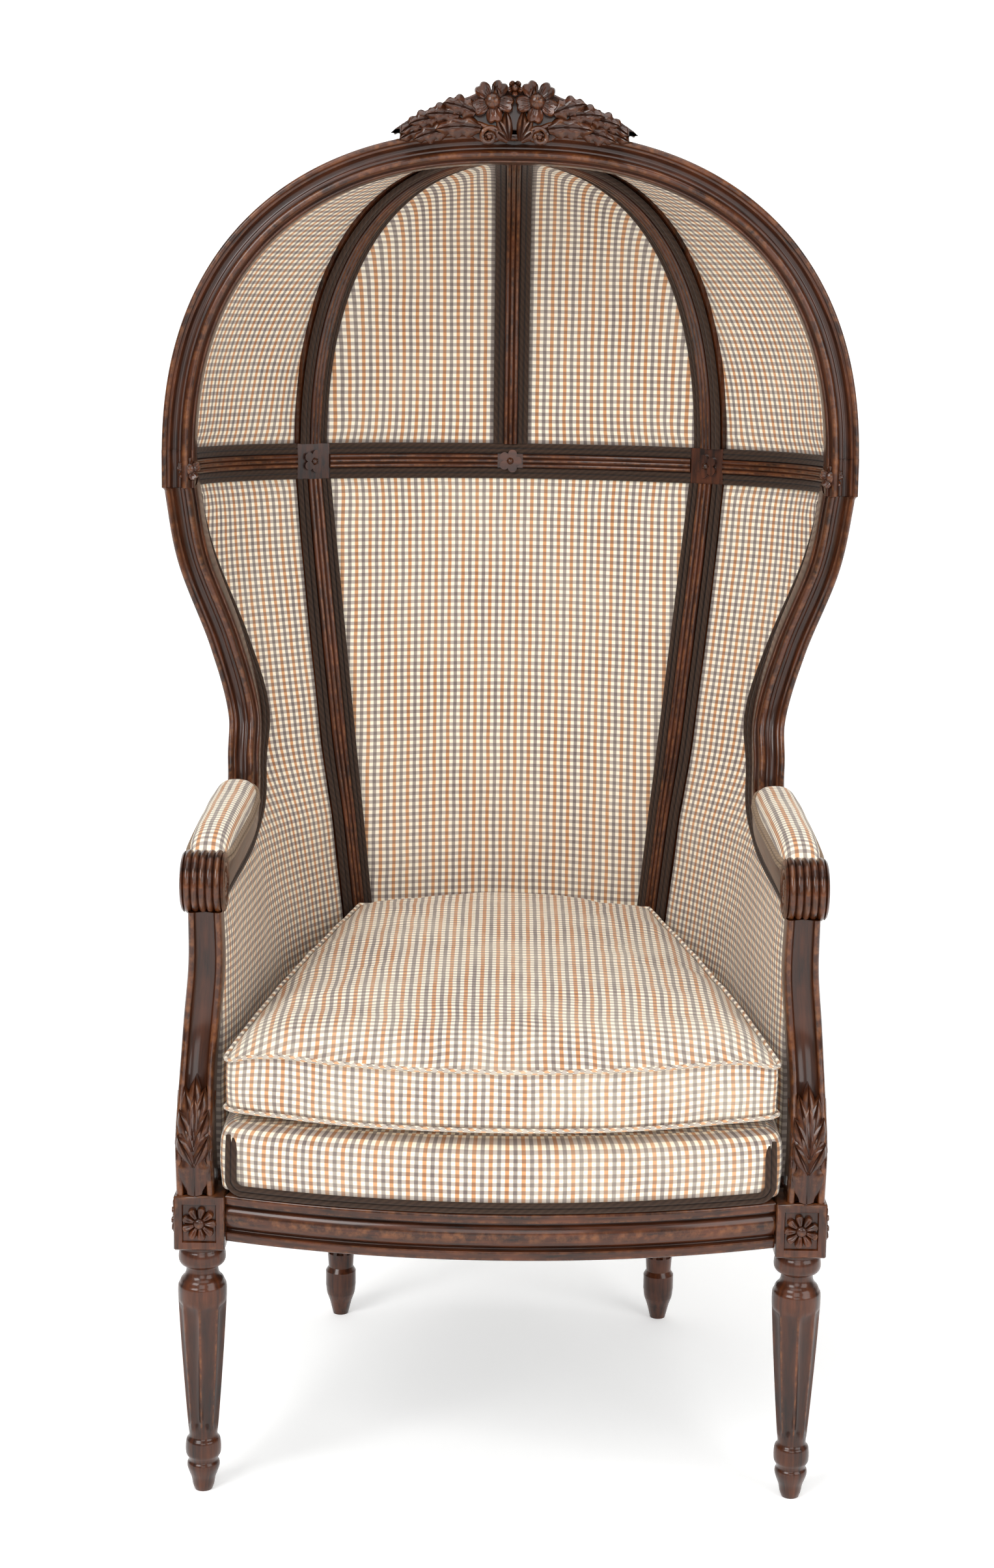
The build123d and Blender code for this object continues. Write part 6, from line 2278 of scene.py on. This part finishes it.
class CHAIR_OT_frame(bpy.types.Operator):
    """Moulded arm rails with their scrolls, wing stiles and the hood arch"""

    bl_idname = "chair.frame"
    bl_label = "Moulded frame"

    def execute(self, context):
        carved = finishes["walnut_carved"]
        arm = carried(frame_run(0.0, 4.0, 60), frame_ring).join(arm_scroll())
        pair("moulded_arm_rail", arm, carved, "walnut", ["arm_rail"])
        pair("moulded_wing_stile", carried(wing_frames(), frame_ring), carved, "walnut", ["wing_stile"])
        right, forward = Vector((1, 0, 0)), Vector((0, -1, 0))
        heart = Vector((ring_half_width, ring_axis_y, ring_height))
        levels = (ring_low, ring_height, ring_high)
        block = carried([(Vector((heart.x, heart.y, z)), right, forward) for z in levels], frame_ring)
        block.join(rose(heart + Vector((-13, -9, 0)), right, Vector((0, 0, 1)), 15.0, 5, 4.5, radians(90)))
        pair("moulded_wing_block", block, carved, "walnut", ["wing_block"])
        arch = carried(arch_frames(low_turn(member_width / 2), pi / 2, 84), frame_ring)
        pair("moulded_hood_arch", arch, carved, "walnut", ["hood_arch"])
        return {"FINISHED"}


class CHAIR_OT_arms(bpy.types.Operator):
    """Arm supports with acanthus at the foot, and stuffed arm pads with their cords"""

    bl_idname = "chair.arms"
    bl_label = "Arms"

    def execute(self, context):
        support = arm_support_shape().join(support_leaves())
        pair("carved_arm_support", support, finishes["walnut_carved"], "walnut", ["arm_support"])
        for thing in pair("stuffed_arm_pad", arm_pad_shape(), finishes["check_pad"], "gingham", ["arm_pad"]):
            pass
        cord_pair("arm_pad_cord", pad_cord_lines(), finishes["pad_cord"], radius=3.1)
        return {"FINISHED"}


class CHAIR_OT_legs(bpy.types.Operator):
    """Turned and fluted front legs with rosettes in their blocks"""

    bl_idname = "chair.legs"
    bl_label = "Front legs"

    def execute(self, context):
        pair("turned_front_leg", front_leg_piece(), finishes["walnut_carved"], "walnut", ["front_leg"], merge=0.00001)
        return {"FINISHED"}


class CHAIR_OT_rails(bpy.types.Operator):
    """Moulded seat rails"""

    bl_idname = "chair.rails"
    bl_label = "Seat rails"

    def execute(self, context):
        carved = finishes["walnut_carved"]
        end = front_block_inner - 0.4
        line = bowed_line((-end, front_rail_y), (end, front_rail_y), front_bow, 61)
        piece("moulded_front_rail", rail_shape(line, rail_thick), carved, "walnut", ["front_seat_rail"])
        face = wood_half + seam + cover_thick + rail_proud
        line = []
        start = side_across_at(rail_top, front_block_back + 0.4, face)
        end = side_across_at(rail_top, back_block_front - 0.4, face)
        for across in spaced(start, end, 50):
            near, far = wall_point(rail_top, across, face), wall_point(rail_top, across, face + 1)
            line.append((near, (far[0] - near[0], far[1] - near[1])))
        pair("moulded_side_rail", rail_shape(line, rail_thick), carved, "walnut", ["seat_rail"])
        end = back_block_inner - 0.4
        line = bowed_line((end, back_rail_face), (-end, back_rail_face), back_bow_low, 41)
        piece("moulded_back_rail", rail_shape(line, rail_thick), carved, "walnut", ["back_seat_rail"])
        return {"FINISHED"}


class CHAIR_OT_reeds(bpy.types.Operator):
    """Three carved reeds on every stile, ring rail and rib"""

    bl_idname = "chair.reeds"
    bl_label = "Reeds"

    def execute(self, context):
        carved = finishes["walnut_carved"]
        corner = member_width / 2
        gap = 17.5 / (stile_top_x - corner)
        for name, spot, start, end, count in (
            ("stile_reeds", stile_spot, wall_low, ring_low, 60),
            ("ring_side_reeds", ring_side_spot, ring_front_across, ring_side_end, 30),
            ("ring_back_reeds", ring_back_spot, gap, 1.0, 30),
            ("side_rib_reeds", side_rib_spot, rib_low, side_high, 60),
        ):
            pair(name, reed_strip(spot, spaced(start, end, count)), carved, "walnut", [])
        centre = reed_strip(centre_rib_spot, spaced(rib_low, centre_high, 70))
        piece("centre_rib_reeds", centre, carved, "walnut")
        return {"FINISHED"}


class CHAIR_OT_cords(bpy.types.Operator):
    """Double cords beside the reeds and round the panels"""

    bl_idname = "chair.cords"
    bl_label = "Trimming cords"

    def execute(self, context):
        radius = chair_sizes().cord_radius / MM
        cord = finishes["cord"]

        def sides(name, lines, nodes):
            cord_pair(name, lines, cord, nodes, radius)

        sides("stile_cords", cord_lines(stile_spot, spaced(wall_low, ring_low, 80)), ["stile_welts"])
        sides("ring_cords", cord_lines(ring_side_spot, spaced(ring_front_across, ring_side_end, 30)), ["ring_welts"])
        back = cord_lines(ring_back_spot, spaced(-1.0, 1.0, 60))
        cord_piece("ring_back_cords", back, cord, ["ring_back_welts"], radius=radius)
        sides("rib_cords", cord_lines(side_rib_spot, spaced(rib_low, side_high, 80)), ["hood_rib_welts"])
        centre = cord_lines(centre_rib_spot, spaced(rib_low, centre_high, 90))
        cord_piece("centre_rib_cords", centre, cord, ["centre_rib_welts"], radius=radius)
        lines = []
        for clearance in (frame_back + 7.6, frame_back + 14.3):
            line = []
            for y, z in edge_places(clearance):
                if y > side_front:
                    x, depth = wall_point(z, side_across_at(z, y, -10.5), -10.5)
                    line.append(Vector((x, depth, z)))
            lines.append(line)
        sides("panel_edge_cords", lines, [])
        lines = []
        top = acos((1.0 / (ring_half_width - 10.5)) ** (dome_bulge / 2))
        for aside in (4.0, 10.7):
            line = []
            for turn in spaced(rib_low, top, 90):
                reach, rise = quarter(ring_half_width, -10.5, turn)
                line.append(Vector((reach, arch_back + aside, ring_height + rise)))
            lines.append(line)
        sides("arch_cords", lines, [])
        lines = []
        for rise in (3.7, 10.2):
            end, bend = front_block_inner - rise, 22.0 - rise
            foot = bowed_line((-end + bend, front_rail_y), (end - bend, front_rail_y), front_bow - 8, 60)
            line = [place + way * -2.2 for place, way in foot]
            line = [Vector((place.x, place.y - 8, rail_top + rise)) for place in line]
            corner = line[-1]
            turns = [(bend * sin(a), -2 * (1 - cos(a)), bend * (1 - cos(a))) for a in spaced(0.15, pi / 2, 8)]
            side = [corner + Vector(turn) for turn in turns]
            tall = 70.0 - rise - bend
            side += [side[-1] + Vector((0, 12 * (k / 12) ** 3, tall * k / 12)) for k in range(1, 13)]
            lines.append([Vector((-p.x, p.y, p.z)) for p in side[::-1]] + line + side)
        cord_piece("seat_front_cords", lines, cord, ["apron_welt"], radius=radius)
        return {"FINISHED"}


class CHAIR_OT_panels(bpy.types.Operator):
    """Stuffed and checked inside panels"""

    bl_idname = "chair.panels"
    bl_label = "Inside panels"

    def execute(self, context):
        check = finishes["check_panel"]
        side = side_sheet(edge_places(edge_clear), True)
        made = pair("stuffed_side_panel", side, check, "gingham", ["side_panel"], sharp=60)
        made.append(piece("stuffed_back_panel", back_sheet(True), check, "gingham", ["back_panel"], sharp=60))
        for name, turns, from_far in (("side", side_turns, False), ("back", back_turns, True)):
            sheet = hood_sheet(turns, from_far)
            made += pair(f"stuffed_hood_{name}", sheet, check, "gingham", [f"hood_{name}_panel"], sharp=60)
        return {"FINISHED"}


class CHAIR_OT_covers(bpy.types.Operator):
    """Outside covers of plain cloth"""

    bl_idname = "chair.covers"
    bl_label = "Outside covers"

    def execute(self, context):
        cloth = finishes["cover"]
        side = side_sheet(edge_places(edge_clear), False)
        made = pair("side_cover", side, cloth, "outer_cloth", ["outer_side_cover"], sharp=60)
        made.append(piece("back_cover", back_sheet(False), cloth, "outer_cloth", ["outer_back_cover"], sharp=60))
        hood = hood_sheet(cover_turns, True, stuffed=False)
        made += pair("hood_cover", hood, cloth, "outer_cloth", ["outer_hood_cover"], sharp=60)
        return {"FINISHED"}


class CHAIR_OT_seat(bpy.types.Operator):
    """Tight seat, loose cushion, webbing and dust cover"""

    bl_idname = "chair.seat"
    bl_label = "Seat"

    def execute(self, context):
        seat_cushion_piece(chair_sizes())
        seat_deck_piece()
        webbing = piece("jute_webbing", webbing_shape(), finishes["webbing"], "webbing", ["seat_webbing"])
        cloth = bottom_cloth_shape()
        thing = piece("dust_cover", cloth, finishes["dust"], "dust_cloth", ["bottom_cloth"])
        return {"FINISHED"}


class CHAIR_OT_crest(bpy.types.Operator):
    """Carved crest of flowers, leaves and scrolls"""

    bl_idname = "chair.crest"
    bl_label = "Crest"

    def execute(self, context):
        piece("carved_crest", crest_shape(), finishes["walnut_carved"], "walnut", ["crest_carving"])
        return {"FINISHED"}


class CHAIR_OT_stage(bpy.types.Operator):
    """Pale floor, soft studio light and the camera"""

    bl_idname = "chair.stage"
    bl_label = "Stage"

    def execute(self, context):
        mesh = bpy.data.meshes.new("floor")
        wide, deep, tall, bend = 9.0, 4.6, 5.0, 1.6
        curve = [pi / 2 * step / 16 for step in range(17)]
        rows = [(-7.0, 0.0)] + [(deep - bend + bend * sin(turn), bend - bend * cos(turn)) for turn in curve]
        rows.append((deep, tall))
        verts = [(x, y, z) for y, z in rows for x in (-wide, wide)]
        faces = [(2 * i, 2 * i + 1, 2 * i + 3, 2 * i + 2) for i in range(len(rows) - 1)]
        mesh.from_pydata(verts, [], faces)
        mesh.polygons.foreach_set("use_smooth", [True] * len(mesh.polygons))
        floor = bpy.data.objects.new("floor", mesh)
        bpy.context.collection.objects.link(floor)
        material = bpy.data.materials.new("pale_floor")
        material.use_nodes = True
        recipe = Recipe(material.node_tree)
        surface = material.node_tree.nodes["Principled BSDF"]
        spot = recipe.add("ShaderNodeTexCoord").outputs["Object"]
        cloud = recipe.span(recipe.noise(spot, 1.3, 2.0), 0.3, 0.7)
        tone = recipe.mix(cloud, paint(250, 250, 249), paint(246, 246, 245))
        material.node_tree.links.new(tone, surface.inputs["Base Color"])
        surface.inputs["Roughness"].default_value = 0.85
        surface.inputs["Emission Color"].default_value = (1.0, 1.0, 1.0, 1.0)
        surface.inputs["Emission Strength"].default_value = 0.34
        mesh.materials.append(material)
        for name, place, aim, size, power in (
            ("key", (-2.6, -3.4, 3.6), (0, 0, 0.8), 2.4, 142.0),
            ("fill", (3.0, -2.8, 2.2), (0, 0, 0.8), 2.6, 72.0),
            ("front", (0.0, -4.6, 1.9), (0, 0, 0.8), 2.2, 42.0),
            ("top", (0.0, -0.6, 4.2), (0, 0, 0.6), 3.2, 70.0),
        ):
            light = bpy.data.lights.new(name, "AREA")
            light.shape = "SQUARE"
            light.size = size
            light.energy = power
            lamp = bpy.data.objects.new(name, light)
            lamp.location = place
            lamp.rotation_euler = (Vector(aim) - Vector(place)).to_track_quat("-Z", "Y").to_euler()
            bpy.context.collection.objects.link(lamp)
        world = bpy.data.worlds.new("studio")
        world.use_nodes = True
        back = world.node_tree.nodes["Background"]
        back.inputs[0].default_value = (1.0, 1.0, 1.0, 1.0)
        back.inputs[1].default_value = 0.24
        bpy.context.scene.world = world
        view = bpy.data.cameras.new("view")
        view.sensor_fit = "VERTICAL"
        view.sensor_height = 36.0
        view.lens = chair_sizes().lens
        view.shift_x = -0.0062
        view.shift_y = -0.035
        camera = bpy.data.objects.new("view", view)
        turn = Matrix.Rotation(radians(81.0), 4, "X") @ Matrix.Rotation(radians(0.75), 4, "Z")
        camera.matrix_world = Matrix.Translation((0.0, -3.058, 1.3395)) @ turn
        bpy.context.collection.objects.link(camera)
        bpy.context.scene.camera = camera
        bpy.context.scene.view_settings.view_transform = "Standard"
        return {"FINISHED"}


operators = (
    CHAIR_OT_finishes,
    CHAIR_OT_plain_wood,
    CHAIR_OT_frame,
    CHAIR_OT_arms,
    CHAIR_OT_legs,
    CHAIR_OT_rails,
    CHAIR_OT_reeds,
    CHAIR_OT_cords,
    CHAIR_OT_panels,
    CHAIR_OT_covers,
    CHAIR_OT_seat,
    CHAIR_OT_crest,
    CHAIR_OT_stage,
)


class CHAIR_PT_panel(bpy.types.Panel):
    """Lists the pieces of the chair"""

    bl_idname = "CHAIR_PT_panel"
    bl_label = "Hall porter chair"
    bl_space_type = "VIEW_3D"
    bl_region_type = "UI"
    bl_category = "Chair"

    def draw(self, context):
        for kind in operators:
            self.layout.operator(kind.bl_idname)
        for settings in (context.scene.chair_sizes, context.scene.chair_colours):
            for name in settings.bl_rna.properties.keys():
                if name not in ("rna_type", "name"):
                    self.layout.prop(settings, name)


def register():
    for kind in (ChairSizes, ChairColours, *operators, CHAIR_PT_panel):
        bpy.utils.register_class(kind)
    bpy.types.Scene.chair_sizes = bpy.props.PointerProperty(type=ChairSizes)
    bpy.types.Scene.chair_colours = bpy.props.PointerProperty(type=ChairColours)


def unregister():
    del bpy.types.Scene.chair_sizes
    del bpy.types.Scene.chair_colours
    for kind in (CHAIR_PT_panel, *reversed(operators), ChairColours, ChairSizes):
        bpy.utils.unregister_class(kind)


def main():
    register()
    for kind in operators:
        getattr(bpy.ops.chair, kind.bl_idname.split(".")[1])()


if __name__ == "__main__":
    main()
